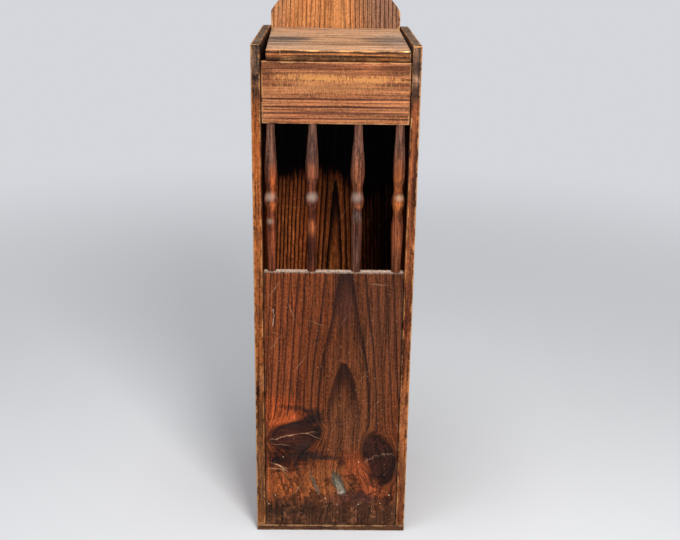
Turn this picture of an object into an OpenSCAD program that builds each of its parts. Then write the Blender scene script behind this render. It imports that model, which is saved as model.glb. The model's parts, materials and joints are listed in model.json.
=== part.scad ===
// Tall wooden bread box for long loaves: nailed boards, a row of turned spindles,
// an arched back for hanging and a lid that swings up on two pins.
// Width runs along X, depth along Y with the front at low Y, and Z is up from the ground.

/* [Carcass] */
// Width across the outside of the two side boards
body_w = 200; // [150:1:280]
// Depth of the side boards from front edge to back edge
body_d = 234; // [140:1:320]
// Thickness of the side, back, header and front boards
board_t = 12; // [10:0.5:18]
// Thickness of the base board
base_t = 8; // [6:0.5:16]
// How far the base board stands proud of the front
base_proud = 1.5; // [0:0.1:6]
// Chamfer along the long edges of every board
arris = 0.8; // [0.2:0.1:1.5]

/* [Front] */
// Height of the lower front panel
panel_h = 364; // [200:1:480]
// Height of the spindle opening
opening_h = 185.5; // [110:0.5:260]
// Height of the header board
header_h = 73; // [50:1:120]
// How far the side boards rise above the header board
side_rise = 19.5; // [16:0.5:40]

/* [Back] */
// Height of the straight shoulders above the side boards
shoulder_rise = 20; // [5:1:40]
// Rise of the arch from its shoulders to its crown
arch_rise = 48; // [34:1:70]
// Diameter of the hanging hole
hang_d = 10; // [6:0.5:14]
// Distance from the crown down to the middle of the hanging hole
hang_drop = 18; // [13:0.5:26]

/* [Lid] */
// Thickness of the lid
lid_t = 13; // [10:0.5:16]
// Gap between each end of the lid and the side board
lid_gap = 0.8; // [0.4:0.1:3]
// How much narrower the lid's left end is cut at the front
lid_taper = 5; // [0:0.5:10]
// Forward slope of the closed lid, in degrees
lid_pitch = 1.2; // [0:0.1:2.5]
// Gap between the closed lid and the header board
lid_rest = 0.3; // [0.2:0.1:1]
// Room behind the open lid, measured at its pins
lid_swing = 3.5; // [2:0.5:8]
// Gap between the lid's round back edge and the back board
lid_back_gap = 0.8; // [0.4:0.1:1.6]

/* [Pivot pins] */
// Diameter of a pivot pin
pin_d = 4; // [3:0.1:5]
// Length of a pivot pin under its head
pin_l = 36; // [26:1:50]
// Diameter of a pivot pin's head
pin_head_d = 7; // [6:0.5:9]
// Thickness of a pivot pin's head
pin_head_t = 1.2; // [0.8:0.1:2]
// Radial clearance of a pin in the lid
pin_play = 0.06; // [0.02:0.01:0.1]

/* [Spindles] */
// Distance from each side board to the middle of the outer spindle
spindle_inset = 10.5; // [9:0.5:20]
// Distance between the two middle spindles
spindle_mid = 55; // [30:1:70]
// Diameter of a spindle at its shoulders
end_d = 10.4; // [8.2:0.1:11]
// Diameter of the bulb at mid height
bulb_d = 16.4; // [13:0.1:17]
// Diameter of the necks above and below the bulb
neck_d = 11; // [8:0.1:12]
// Diameter of the swelling above the bulb
upper_d = 16; // [12:0.1:17]
// Diameter of the swelling below the bulb
lower_d = 14; // [12:0.1:17]
// Distance from the bulb's middle to each neck
neck_rise = 13.5; // [10:0.5:18]
// Distance from the bulb's middle to each swelling
swell_rise = 33; // [22:0.5:40]
// Diameter of a tenon
tenon_d = 7; // [5:0.1:8]
// Length of a tenon
tenon_l = 12; // [8:0.5:16]
// Radial clearance of a tenon in its socket
tenon_play = 0.05; // [0.02:0.01:0.1]
// Spare depth at the bottom of a tenon's socket
socket_spare = 0.8; // [0.2:0.1:2]

/* [Nails] */
// Diameter of a nail's shank
nail_d = 2.4; // [1.8:0.1:3]
// Length of a nail under its head
nail_l = 32; // [26:1:40]
// Diameter of a nail's head
nail_head_d = 5.2; // [4:0.1:6]
// Thickness of a nail's head
nail_head_t = 1; // [0.6:0.1:1.5]
// Length of a nail's point
nail_point = 5; // [3:0.5:7]
// Radial clearance of a nail or pin driven into wood
nail_play = 0.05; // [0.02:0.01:0.1]
// How deep a head is set below the wood's surface
head_set = 0.3; // [0.1:0.1:0.8]
// Distance from a board's end to the first nail across its edge
nail_inset = 18; // [15:1:24]
// Distance from the front and back of the base to the first nail into a side board
base_nail_inset = 34; // [28:1:60]
// Distance between the two nails that hold the base to the front panel or to the back board
base_nail_gap = 60; // [30:1:70]

/* [Hidden] */
$fn = 64;

LEFT = -1;
RIGHT = 1;
BOTH = [LEFT, RIGHT];
ACROSS = [0, 90, 0];
BACKWARD = [-90, 0, 0];

// Overlap of a cutting shape past the face that it cuts
cut = 1;

inner_w = body_w - 2 * board_t;
bulb_proud = (bulb_d - board_t) / 2;
front_proud = max(base_proud, bulb_proud);
back_y = (body_d + front_proud) / 2;
front_y = back_y - body_d;
base_mid_y = (front_y - base_proud + back_y) / 2;
front_mid_y = front_y + board_t / 2;
back_mid_y = back_y - board_t / 2;
back_face_y = back_y - board_t;

panel_top = base_t + panel_h;
header_z = panel_top + opening_h;
header_top = header_z + header_h;
side_top = header_top + side_rise;
shoulder_z = side_top + shoulder_rise;
crown_z = shoulder_z + arch_rise;
arch_r = (pow(inner_w / 2, 2) + pow(arch_rise, 2)) / (2 * arch_rise);

// The pivot lies at half the lid's thickness, far enough forward for the lid to stand open.
pivot_back = lid_t / 2 + lid_swing;
pivot_y = back_face_y - pivot_back;
lid_reach = (pivot_y - front_y) / cos(lid_pitch);
pivot_z = header_top + lid_rest + lid_t / 2 * cos(lid_pitch) + lid_reach * sin(lid_pitch);
lid_heel_r = pivot_back - lid_back_gap;

outer_spindle_x = inner_w / 2 - spindle_inset;
spindle_x = [-outer_spindle_x, -spindle_mid / 2, spindle_mid / 2, outer_spindle_x];
profile_steps = 10;

panel_nail_count = 4;
back_nail_count = 5;
header_nail_count = 2;
base_side_nail_count = 4;

light_oak = "#8a5227";
dark_pine = "#5b2f19";
red_pine = "#7c4423";
grey_pine = "#8c6a4c";
turned = "#553022";
iron = "#3a332e";

// Evenly spaced places from first to last
function spread(first, last, count) =
    [for (i = [0 : count - 1]) first + (last - first) * i / (count - 1)];

header_nail_z = spread(header_z + nail_inset, header_top - nail_inset, header_nail_count);
panel_nail_z = spread(base_t + nail_l + nail_inset, panel_top - nail_l - nail_inset, panel_nail_count);
back_nail_z = spread(base_t + nail_l + nail_inset, side_top - nail_l - nail_inset, back_nail_count);
base_nail_y = spread(front_y + base_nail_inset, back_y - base_nail_inset, base_side_nail_count);

// A rectangle with its four corners chamfered
module eased_rectangle(size, ease) {
    x = size[0] / 2;
    y = size[1] / 2;
    polygon([
        [ease - x, -y], [x - ease, -y], [x, ease - y], [x, y - ease],
        [x - ease, y], [ease - x, y], [-x, y - ease], [-x, ease - y]
    ]);
}

// A straight board with eased long edges, from z = 0 up
module upright_board(width, depth, height) {
    linear_extrude(height) eased_rectangle([width, depth], arris);
}

// A board whose grain runs across, from x = -length / 2
module level_board(length, depth, height) {
    translate([-length / 2, 0, height / 2]) rotate(ACROSS)
        linear_extrude(length) eased_rectangle([height, depth], arris);
}

// A driven fastener along +Z, with the outer face of the wood at z = 0
module fastener(shank_d, length, head_d, head_t, play) {
    translate([0, 0, head_set]) {
        cylinder(d = head_d + 2 * play, h = head_t);
        translate([0, 0, head_t]) cylinder(d = shank_d + 2 * play, h = length - nail_point);
        translate([0, 0, head_t + length - nail_point])
            cylinder(d1 = shank_d + 2 * play, d2 = shank_d / 4 + 2 * play, h = nail_point);
    }
}

// The hole that a fastener fills, open at the wood's outer face
module fastener_hole(shank_d, length, head_d, head_t) {
    translate([0, 0, -cut]) cylinder(d = head_d + 2 * nail_play, h = cut + head_set + head_t);
    fastener(shank_d, length + nail_play, head_d, head_t, nail_play);
}

module nail() {
    fastener(nail_d, nail_l, nail_head_d, nail_head_t, 0);
}

module nail_hole() {
    fastener_hole(nail_d, nail_l, nail_head_d, nail_head_t);
}

// Places its children on the outside of one side board, pointing inwards
module at_side(side, y, heights) {
    for (z = heights)
        translate([side * body_w / 2, y, z]) rotate([0, -side * 90, 0]) children();
}

module at_header(side) {
    at_side(side, front_mid_y, header_nail_z) children();
}

module at_panel(side) {
    at_side(side, front_mid_y, panel_nail_z) children();
}

module at_back(side) {
    at_side(side, back_mid_y, back_nail_z) children();
}

module at_pivot(side) {
    at_side(side, pivot_y, [pivot_z]) children();
}

// Places its children under the base board, pointing up
module at_base() {
    for (side = BOTH) {
        for (y = base_nail_y)
            translate([side * (body_w - board_t) / 2, y, 0]) children();
        for (y = [front_mid_y, back_mid_y])
            translate([side * base_nail_gap / 2, y, 0]) children();
    }
}

module all_nail_holes() {
    for (side = BOTH) {
        at_header(side) nail_hole();
        at_panel(side) nail_hole();
        at_back(side) nail_hole();
    }
    at_base() nail_hole();
}

module pivot_pin(side) {
    color(iron) at_pivot(side) fastener(pin_d, pin_l, pin_head_d, pin_head_t, 0);
}

// One side board, resting on the base
module side_board(side) {
    color(light_oak) difference() {
        translate([side * (body_w - board_t) / 2, (front_y + back_y) / 2, base_t])
            upright_board(board_t, body_d, side_top - base_t);
        all_nail_holes();
        at_pivot(side) fastener_hole(pin_d, pin_l, pin_head_d, pin_head_t);
    }
}

// The outline of the back board, seen from the front
module back_outline() {
    translate([-inner_w / 2, base_t]) square([inner_w, shoulder_z - base_t]);
    intersection() {
        translate([0, crown_z - arch_r]) circle(arch_r);
        translate([-inner_w / 2, shoulder_z - cut]) square([inner_w, arch_rise + 2 * cut]);
    }
}

module back_board() {
    color(red_pine) difference() {
        translate([0, back_y, 0]) rotate([90, 0, 0]) linear_extrude(board_t) back_outline();
        translate([0, back_face_y - cut, crown_z - hang_drop]) rotate(BACKWARD)
            cylinder(d = hang_d, h = board_t + 2 * cut);
        all_nail_holes();
    }
}

module base_board() {
    color(dark_pine) difference() {
        translate([0, base_mid_y, 0]) level_board(body_w, body_d + base_proud, base_t);
        at_base() nail_hole();
    }
}

// The sockets for the spindles' tenons, above and below the opening
module spindle_sockets() {
    depth = tenon_l + socket_spare;
    for (x = spindle_x)
        translate([x, front_mid_y, panel_top - depth])
            cylinder(d = tenon_d + 2 * tenon_play, h = opening_h + 2 * depth);
}

module front_panel() {
    color(dark_pine) difference() {
        translate([0, front_mid_y, base_t]) upright_board(inner_w, board_t, panel_h);
        spindle_sockets();
        all_nail_holes();
    }
}

module header_board() {
    color(red_pine) difference() {
        translate([0, front_mid_y, header_z]) level_board(inner_w, board_t, header_h);
        spindle_sockets();
        all_nail_holes();
    }
}

// The lid's section seen from its left end, with the pivot at the origin and the front at low x
module lid_section() {
    translate([-lid_reach, -lid_t / 2]) {
        polygon([
            [0, arris], [arris, 0], [lid_reach, 0], [lid_reach, lid_t], [arris, lid_t], [0, lid_t - arris]
        ]);
    }
    intersection() {
        circle(lid_heel_r);
        translate([-cut, -lid_t / 2]) square([lid_heel_r + 2 * cut, lid_t]);
    }
}

// The lid's outline seen from above, with its left end cut narrower towards the front
module lid_plan() {
    end = inner_w / 2 - lid_gap;
    front = -lid_reach - cut;
    back = lid_heel_r + cut;
    polygon([[-end, back], [-end, 0], [lid_taper - end, front], [end, front], [end, back]]);
}

module lid() {
    color(grey_pine) difference() {
        translate([0, pivot_y, pivot_z]) rotate([lid_pitch, 0, 0]) intersection() {
            rotate([90, 0, 90]) linear_extrude(inner_w, center = true) lid_section();
            linear_extrude(2 * lid_t, center = true) lid_plan();
        }
        for (side = BOTH)
            at_pivot(side) cylinder(d = pin_d + 2 * pin_play, h = pin_l + head_set + pin_head_t + cut);
    }
}

// Radius of a spindle between two stations, eased at both ends
function eased(from, to, share) = from + (to - from) * (1 - cos(180 * share)) / 2;

// The profile of one stretch of a spindle, from one [height, radius] station to the next
function stretch(low, high) = [
    for (i = [0 : profile_steps - 1])
        let (share = i / profile_steps)
        [eased(low[1], high[1], share), low[0] + (high[0] - low[0]) * share]
];

module spindle(index) {
    half = opening_h / 2;
    stations = [
        [-half, end_d / 2], [-swell_rise, lower_d / 2], [-neck_rise, neck_d / 2], [0, bulb_d / 2],
        [neck_rise, neck_d / 2], [swell_rise, upper_d / 2], [half, end_d / 2]
    ];
    turning = [for (i = [0 : len(stations) - 2]) each stretch(stations[i], stations[i + 1])];
    tenon_end = half + tenon_l;
    color(turned) translate([spindle_x[index], front_mid_y, panel_top + half])
        rotate_extrude() polygon(concat(
            [[0, -tenon_end], [tenon_d / 2, -tenon_end], [tenon_d / 2, -half]],
            turning,
            [[end_d / 2, half], [tenon_d / 2, half], [tenon_d / 2, tenon_end], [0, tenon_end]]
        ));
}

module header_nails(side) {
    color(iron) at_header(side) nail();
}

module panel_nails(side) {
    color(iron) at_panel(side) nail();
}

module back_nails(side) {
    color(iron) at_back(side) nail();
}

module base_nails() {
    color(iron) at_base() nail();
}

side_board(LEFT);  // left_side
side_board(RIGHT);  // right_side
back_board();
base_board();
front_panel();
header_board();
lid();
spindle(0);  // spindle_1
spindle(1);  // spindle_2
spindle(2);  // spindle_3
spindle(3);  // spindle_4
pivot_pin(LEFT);  // left_pivot_pin
pivot_pin(RIGHT);  // right_pivot_pin
header_nails(LEFT);  // left_header_nails
header_nails(RIGHT);  // right_header_nails
panel_nails(LEFT);  // left_panel_nails
panel_nails(RIGHT);  // right_panel_nails
back_nails(LEFT);  // left_back_nails
back_nails(RIGHT);  // right_back_nails
base_nails();
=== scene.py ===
"""Looks of a tall wooden bread box: worn pine boards, turned spindles, iron nails and a hinged lid.

Lengths in the classes are millimetres, as a joiner would give them. Meshes are in metres.
"""

import json
import logging
import math
from dataclasses import asdict, dataclass, field, replace
from enum import Enum
from functools import cached_property, partial
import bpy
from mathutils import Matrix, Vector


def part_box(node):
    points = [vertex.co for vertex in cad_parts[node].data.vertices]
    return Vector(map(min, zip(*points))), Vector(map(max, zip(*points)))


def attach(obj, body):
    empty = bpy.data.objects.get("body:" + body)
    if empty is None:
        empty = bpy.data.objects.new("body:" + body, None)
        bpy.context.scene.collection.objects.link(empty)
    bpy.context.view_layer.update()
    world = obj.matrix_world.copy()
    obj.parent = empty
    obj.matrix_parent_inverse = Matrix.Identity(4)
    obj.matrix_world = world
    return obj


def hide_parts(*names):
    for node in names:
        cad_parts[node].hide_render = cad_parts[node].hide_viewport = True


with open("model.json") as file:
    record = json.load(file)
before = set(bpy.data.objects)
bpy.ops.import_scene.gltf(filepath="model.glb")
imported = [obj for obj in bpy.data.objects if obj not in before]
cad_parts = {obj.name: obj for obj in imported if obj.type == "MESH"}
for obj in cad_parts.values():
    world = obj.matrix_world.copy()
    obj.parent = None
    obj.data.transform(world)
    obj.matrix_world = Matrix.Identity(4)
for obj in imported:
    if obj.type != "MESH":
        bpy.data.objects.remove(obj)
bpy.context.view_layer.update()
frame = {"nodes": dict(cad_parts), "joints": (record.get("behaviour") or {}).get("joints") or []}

from types import SimpleNamespace
from typing import Callable, Sequence

import bmesh
import bpy
from mathutils import Matrix, Vector

LOG = logging.getLogger("bread_box")
MM = 0.001
CARCASS = "carcass"
LID = "lid"
ROW_DIGITS = 6
NOISE_MIDDLE = 0.5
SCREEN_LEVELS = 255
SCREEN_KNEE = 0.04045
SCREEN_SLOPE = 12.92
SCREEN_LIFT = 0.055
SCREEN_POWER = 2.4

Colour = tuple[float, float, float]
Levels = tuple[int, int, int]
Span = tuple[float, float]
Box = tuple[Vector, Vector]


def srgb(*levels: int) -> Colour:
    """Turns a colour as seen on a screen into the linear values that shaders use.

    Args:
        levels: Red, green and blue from 0 to 255.

    Returns:
        The three linear values.
    """
    shares = [level / SCREEN_LEVELS for level in levels]
    return tuple(
        share / SCREEN_SLOPE if share <= SCREEN_KNEE
        else ((share + SCREEN_LIFT) / (1 + SCREEN_LIFT)) ** SCREEN_POWER
        for share in shares
    )


def operator(operation: str, swapped: bool = False) -> Callable[["Signal", "Value"], "Signal"]:
    """Makes a method that adds one Math node with two inputs.

    Args:
        operation: The node's operation.
        swapped: Whether the signal is the second input.

    Returns:
        The method.
    """
    def apply(self: "Signal", other: "Value") -> "Signal":
        """Adds the node."""
        return self.sheet.math(operation, *((other, self) if swapped else (self, other)))

    return apply


class Signal:
    """One value that runs through a node tree. Arithmetic on signals adds Math nodes."""

    def __init__(self, sheet: "NodeSheet", socket: bpy.types.NodeSocket) -> None:
        """Keeps the output socket that the value comes from, and its tree."""
        self.sheet = sheet
        self.socket = socket

    __add__ = operator("ADD")
    __radd__ = operator("ADD", swapped=True)
    __sub__ = operator("SUBTRACT")
    __rsub__ = operator("SUBTRACT", swapped=True)
    __mul__ = operator("MULTIPLY")
    __truediv__ = operator("DIVIDE")
    __rtruediv__ = operator("DIVIDE", swapped=True)
    low = operator("MINIMUM")
    high = operator("MAXIMUM")

    def root(self) -> "Signal":
        """Gives the square root."""
        return self.sheet.math("SQRT", self)

    def floor(self) -> "Signal":
        """Gives the next whole number below."""
        return self.sheet.math("FLOOR", self)

    def size(self) -> "Signal":
        """Gives the value without its sign."""
        return self.sheet.math("ABSOLUTE", self)

    def step(self, start: "Value", end: "Value") -> "Signal":
        """Rises smoothly from 0 at start to 1 at end."""
        return self.sheet.add("MapRange", self, start, end, interpolation_type="SMOOTHSTEP")

    def fall(self, start: "Value", end: "Value") -> "Signal":
        """Falls smoothly from 1 at start to 0 at end."""
        return 1.0 - self.step(start, end)


Value = Signal | float | Sequence[float]


@dataclass(frozen=True)
class Ripple:
    """Noise in a surface: waves per millimetre across and along the grain, and its finer layers."""

    across: float
    along: float
    detail: float = 3.0
    roughness: float = 0.6
    limits: Span = (0.3, 0.7)

    @property
    def waves(self) -> Colour:
        """Gives the waves per millimetre across, deep and along."""
        return self.across, self.across, self.along


class NodeSheet:
    """A node tree with short methods that add a node and give its output."""

    def __init__(self, tree: bpy.types.NodeTree) -> None:
        """Starts to write in a node tree."""
        self.tree = tree

    def put(self, kind: str, **settings: object) -> bpy.types.Node:
        """Adds one node.

        Args:
            kind: The node's type name, without its prefix if it is a shader node.
            settings: Properties to set on the node.

        Returns:
            The new node.
        """
        node = self.tree.nodes.new(kind if kind.startswith("Node") else "ShaderNode" + kind)
        for name, value in settings.items():
            setattr(node, name, value)
        return node

    def feed(self, socket: bpy.types.NodeSocket, value: Value) -> None:
        """Links a signal to an input socket, or sets the socket to a number, vector or colour.

        Args:
            socket: The input socket.
            value: What it receives.
        """
        if isinstance(value, Signal):
            self.tree.links.new(value.socket, socket)
        elif isinstance(value, (int, float)):
            socket.default_value = value
        else:
            socket.default_value = (*value, 1.0)[:len(socket.default_value)]

    def add(self, kind: str, *values: Value | None, **settings: object) -> Signal:
        """Adds a node and feeds its inputs in order.

        Args:
            kind: The node's type name.
            values: What its inputs receive. None leaves one as it is.
            settings: Properties to set on the node.

        Returns:
            The node's first output.
        """
        node = self.put(kind, **settings)
        for socket, value in zip(node.inputs, values):
            if value is not None:
                self.feed(socket, value)
        return Signal(self, node.outputs[0])

    def read(self, kind: str, output: str) -> Signal:
        """Adds a node without inputs, and gives one of its outputs."""
        return Signal(self, self.put(kind).outputs[output])

    def math(self, operation: str, *values: Value) -> Signal:
        """Adds a Math node."""
        return self.add("Math", *values, operation=operation)

    def vector_math(self, operation: str, *values: Value | None) -> Signal:
        """Adds a Vector Math node."""
        return self.add("VectorMath", *values, operation=operation)

    def vector(self, across: Value, deep: Value, along: Value) -> Signal:
        """Joins three values into a vector."""
        return self.add("CombineXYZ", across, deep, along)

    def parts(self, vector: Signal) -> list[Signal]:
        """Splits a vector into its three values."""
        split = self.add("SeparateXYZ", vector).socket.node
        return [Signal(self, socket) for socket in split.outputs]

    def noise(self, vector: Signal, detail: float, roughness: float) -> Signal:
        """Gives smooth noise around its middle, with one wave per unit of the vector."""
        return self.add("TexNoise", vector, None, 1.0, detail, roughness)

    def ripple(self, vector: Signal, ripple: Ripple, shift: Value = (0.0, 0.0, 0.0)) -> Signal:
        """Gives a ripple's noise at a place in millimetres."""
        place = self.vector_math("MULTIPLY_ADD", vector, ripple.waves, shift)
        return self.noise(place, ripple.detail, ripple.roughness)

    def cells(self, vector: Signal) -> tuple[Signal, Signal]:
        """Scatters cells, one per unit of the vector.

        Args:
            vector: Where the cells are read.

        Returns:
            The distance to the nearest cell's middle, and that cell's random value.
        """
        distance = self.add("TexVoronoi", vector, None, 1.0)
        colour = Signal(self, distance.socket.node.outputs["Color"])
        return distance, self.add("SeparateColor", colour)

    def chance(self, value: Signal) -> Signal:
        """Gives a random share for each whole number."""
        return self.add("TexWhiteNoise", None, value, noise_dimensions="1D")

    def mix(self, share: Value, first: Value, second: Value, blend: str = "MIX") -> Signal:
        """Mixes two colours.

        Args:
            share: How much of the second colour shows.
            first: The first colour.
            second: The second colour.
            blend: The blend mode.

        Returns:
            The mixed colour.
        """
        node = self.put("Mix", data_type="RGBA", blend_type=blend)
        colours = [socket for socket in node.inputs if socket.type == "RGBA"]
        for socket, value in zip((node.inputs[0], *colours), (share, first, second)):
            self.feed(socket, value)
        return Signal(self, next(socket for socket in node.outputs if socket.type == "RGBA"))

    def relief(self, height: Signal, strength: float, depth: float) -> Signal:
        """Gives the normals of a surface with heights, its depth in millimetres."""
        return self.add("Bump", strength, depth * MM, None, height)

    def group(self, tree: bpy.types.NodeTree, **inputs: Value) -> SimpleNamespace:
        """Places a node group.

        Args:
            tree: The group.
            inputs: A value for each input.

        Returns:
            The group's outputs by name.
        """
        node = self.put("Group", node_tree=tree)
        for name, value in inputs.items():
            self.feed(node.inputs[name], value)
        return SimpleNamespace(**{socket.name: Signal(self, socket) for socket in node.outputs})


class Paint:
    """A new material with its node sheet and its shader."""

    def __init__(self, name: str) -> None:
        """Starts the material.

        Args:
            name: The material's name.
        """
        self.material = bpy.data.materials.new(name)
        self.material.use_nodes = True
        self.sheet = NodeSheet(self.material.node_tree)
        self.shader = self.material.node_tree.nodes["Principled BSDF"]

    def set(self, **inputs: Value) -> None:
        """Feeds the shader's inputs, named with underscores for spaces."""
        for name, value in inputs.items():
            self.sheet.feed(self.shader.inputs[name.replace("_", " ")], value)

    def place(self) -> Signal:
        """Gives the surface's place in the row's frame, in millimetres."""
        return self.sheet.vector_math("SCALE", self.sheet.read("TexCoord", "Object"), None, None, 1 / MM)


class SocketKind(Enum):
    """Kinds of socket that the effect groups have."""

    NUMBER = "NodeSocketFloat"
    VECTOR = "NodeSocketVector"


class EffectGroup:
    """A shader node group that several finishes share."""

    def __init__(self, name: str, vectors: str, numbers: str, masks: str, flows: str = "") -> None:
        """Makes an empty group with named sockets. The names are words with spaces between.

        Args:
            name: The group's name.
            vectors: The vectors that go in.
            numbers: The numbers that go in.
            masks: The numbers that come out.
            flows: The vectors that come out.
        """
        self.tree = bpy.data.node_groups.new(name, "ShaderNodeTree")
        for names, way, kind in (
            (vectors, "INPUT", SocketKind.VECTOR),
            (numbers, "INPUT", SocketKind.NUMBER),
            (flows, "OUTPUT", SocketKind.VECTOR),
            (masks, "OUTPUT", SocketKind.NUMBER),
        ):
            for socket_name in names.split():
                self.tree.interface.new_socket(socket_name, in_out=way, socket_type=kind.value)
        self.sheet = NodeSheet(self.tree)
        entry = self.sheet.put("NodeGroupInput")
        self.given = SimpleNamespace(
            **{socket.name: Signal(self.sheet, socket) for socket in entry.outputs if socket.name}
        )
        self.leave = self.sheet.put("NodeGroupOutput")

    def give(self, **results: Signal) -> bpy.types.NodeTree:
        """Links the results to the group's outputs.

        Args:
            results: The signals by the outputs' names.

        Returns:
            The finished group.
        """
        for name, signal in results.items():
            self.sheet.feed(self.leave.inputs[name], signal)
        return self.tree

    def turned(self) -> tuple[Signal, Signal]:
        """Gives the cosine and the sine of the group's turn."""
        return self.sheet.math("COSINE", self.given.turn), self.sheet.math("SINE", self.given.turn)

    def oval(self) -> SimpleNamespace:
        """Measures the grain position from a turned oval that the group is given.

        Returns:
            The position across, deep and along, the oval's middle and half sizes, the distance to its
            middle across the grain, and the position in half sizes along its own axes, u and v.
        """
        across, deep, along = self.sheet.parts(self.given.grain)
        middle_across, _, middle_along = self.sheet.parts(self.given.middle)
        half_across, _, half_along = self.sheet.parts(self.given.half)
        cosine, sine = self.turned()
        side, rise = across - middle_across, along - middle_along
        return SimpleNamespace(
            across=across, deep=deep, along=along, side=side,
            middle_across=middle_across, middle_along=middle_along,
            half_across=half_across, half_along=half_along,
            u=(side * cosine + rise * sine) / half_across,
            v=(rise * cosine - side * sine) / half_along,
        )


class WoodEffects:
    """The effects that all wooden finishes share. Grain positions are millimetres: across, deep, along."""

    chance_blur = 0.02
    slow_sway = Ripple(0.016, 0.0045, 1.0, 0.5)
    quick_sway = Ripple(0.07, 0.016, 2.0, 0.5)
    quick_share = 0.3
    ring_fray = Ripple(0.75, 0.03, 2.0, 0.5)
    flare_length = 100.0
    flare_width = (16.0, 50.0)
    thinning = (18.0, 50.0)
    late_rise = 10.0
    late_full = 0.93
    late_end = (0.985, 1.0)
    fibres = {
        "streak": Ripple(0.24, 0.007, limits=(0.32, 0.68)),
        "hair": Ripple(0.6, 0.016, roughness=0.65),
        "pore": Ripple(1.1, 0.09, 2.0, limits=(0.58, 0.72)),
        "cloud": Ripple(0.03, 0.011, roughness=0.55),
        "grit": Ripple(0.42, 0.3, roughness=0.75),
    }
    coarse_rub = Ripple(0.06, 0.06)
    fine_rub = Ripple(0.45, 0.45, 2.0)
    rub_shares = (6.5, 2.4)
    least_rub = 0.05
    rub_edge = (0.55, 1.1)
    patch_detail = 3.0
    patch_roughness = 0.62
    face_edge = (0.0, 1.2)
    knot_wobble = Ripple(0.05, 0.05)
    wobble_share = 0.5
    nearest_flow = 1.02
    knot_inside = (0.8, 1.05)
    knot_core = (0.86, 1.04)
    collar_start = (0.72, 0.95)
    collar_end = (0.98, 1.3)
    knot_rings = 6.0
    knot_ring_wobble = 2.0
    crack_jag = Ripple(0.13, 0.13)
    crack_jag_share = 0.5
    crack_edge = (0.008, 0.035)
    speck_edge = (0.06, 0.16)
    dark_speck_start = 0.5
    scratch_waver = Ripple(0.1, 0.1, 2.0, 0.5)
    scratch_sway = 3.0
    scratch_spacing = (6.0, 40.0, 150.0)
    scratch_edge = (0.03, 0.13)

    def rare(self, chance: Signal, amount: Signal) -> Signal:
        """Masks the cells whose random value is below an amount."""
        return chance.fall(amount, amount + self.chance_blur)

    @cached_property
    def growth_rings(self) -> bpy.types.NodeTree:
        """Growth rings: pale early wood that darkens slowly and ends sharply.

        Returns:
            The group.
        """
        group = EffectGroup(
            "growth_rings",
            "grain seed",
            "pith crown bend curve period shift wander fray sharp thin face "
            "flare flare_top late_gain late_top uneven",
            "late varied",
        )
        sheet, given = group.sheet, group.given
        across, deep, along = sheet.parts(given.grain)
        slow, quick, fray = (
            sheet.ripple(given.grain, ripple, given.seed) - NOISE_MIDDLE
            for ripple in (self.slow_sway, self.quick_sway, self.ring_fray)
        )
        offset = across - given.pith + (slow + quick * self.quick_share) * given.wander
        below = along.fall(given.flare_top - self.flare_length, given.flare_top)
        offset = offset * (1.0 - given.flare * below * offset.size().fall(*self.flare_width))
        crown = given.crown + deep - given.face
        radius = (offset * offset + crown * crown).root() - given.crown
        place = along + given.shift + radius * given.bend + offset * offset * given.curve
        place = place / given.period + fray * given.fray
        ring = place.floor()
        share = place - ring
        start = given.sharp + (given.thin - given.sharp) * offset.size().step(*self.thinning)
        start = start - given.late_gain * along.fall(given.late_top - self.late_rise, given.late_top)
        return group.give(
            late=share.step(start, self.late_full) * share.fall(*self.late_end),
            varied=1.0 - given.uneven + sheet.chance(ring) * given.uneven,
        )

    @cached_property
    def fibre(self) -> bpy.types.NodeTree:
        """Fine streaks, hairs, pores, clouds and grit that run along the grain.

        Returns:
            The group.
        """
        group = EffectGroup("wood_fibre", "grain seed", "", " ".join(self.fibres))
        return group.give(**{
            name: group.sheet.ripple(group.given.grain, ripple, group.given.seed).step(*ripple.limits)
            for name, ripple in self.fibres.items()
        })

    @cached_property
    def arris(self) -> bpy.types.NodeTree:
        """Bare and rubbed edges of a board, from its distance to the nearest edge of its box.

        Returns:
            The group.
        """
        group = EffectGroup("rubbed_arris", "place centre half", "width ragged", "bare distance")
        sheet, given = group.sheet, group.given
        outward = sheet.vector_math("ABSOLUTE", sheet.vector_math("SUBTRACT", given.place, given.centre))
        x, y, z = sheet.parts(sheet.vector_math("SUBTRACT", given.half, outward))
        distance = x.low(y).high(x.high(y).low(z))
        coarse, fine = (
            (sheet.ripple(given.place, ripple) - NOISE_MIDDLE) * share
            for ripple, share in zip((self.coarse_rub, self.fine_rub), self.rub_shares)
        )
        reach = (given.width * (1.0 + (coarse + fine) * given.ragged)).high(self.least_rub)
        return group.give(bare=(distance / reach).fall(*self.rub_edge), distance=distance)

    @cached_property
    def patch(self) -> bpy.types.NodeTree:
        """A soft uneven oval on one face of a board.

        Returns:
            The group.
        """
        group = EffectGroup(
            "uneven_patch", "grain middle half", "turn edge ragged scale streaky face reach wave", "mask"
        )
        sheet, given, oval = group.sheet, group.given, group.oval()
        place = sheet.vector(
            oval.across * given.scale, oval.deep * given.scale, oval.along * given.scale * given.streaky
        )
        rough = sheet.noise(place, self.patch_detail, self.patch_roughness) - NOISE_MIDDLE
        distance = (oval.u * oval.u + oval.v * oval.v).root() + rough * given.ragged
        inside = distance.fall(1.0 - given.edge, 1.0 + given.edge)
        from_face = (oval.deep - given.face).size() + rough * given.wave
        return group.give(mask=inside * (from_face - given.reach).fall(*self.face_edge))

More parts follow.
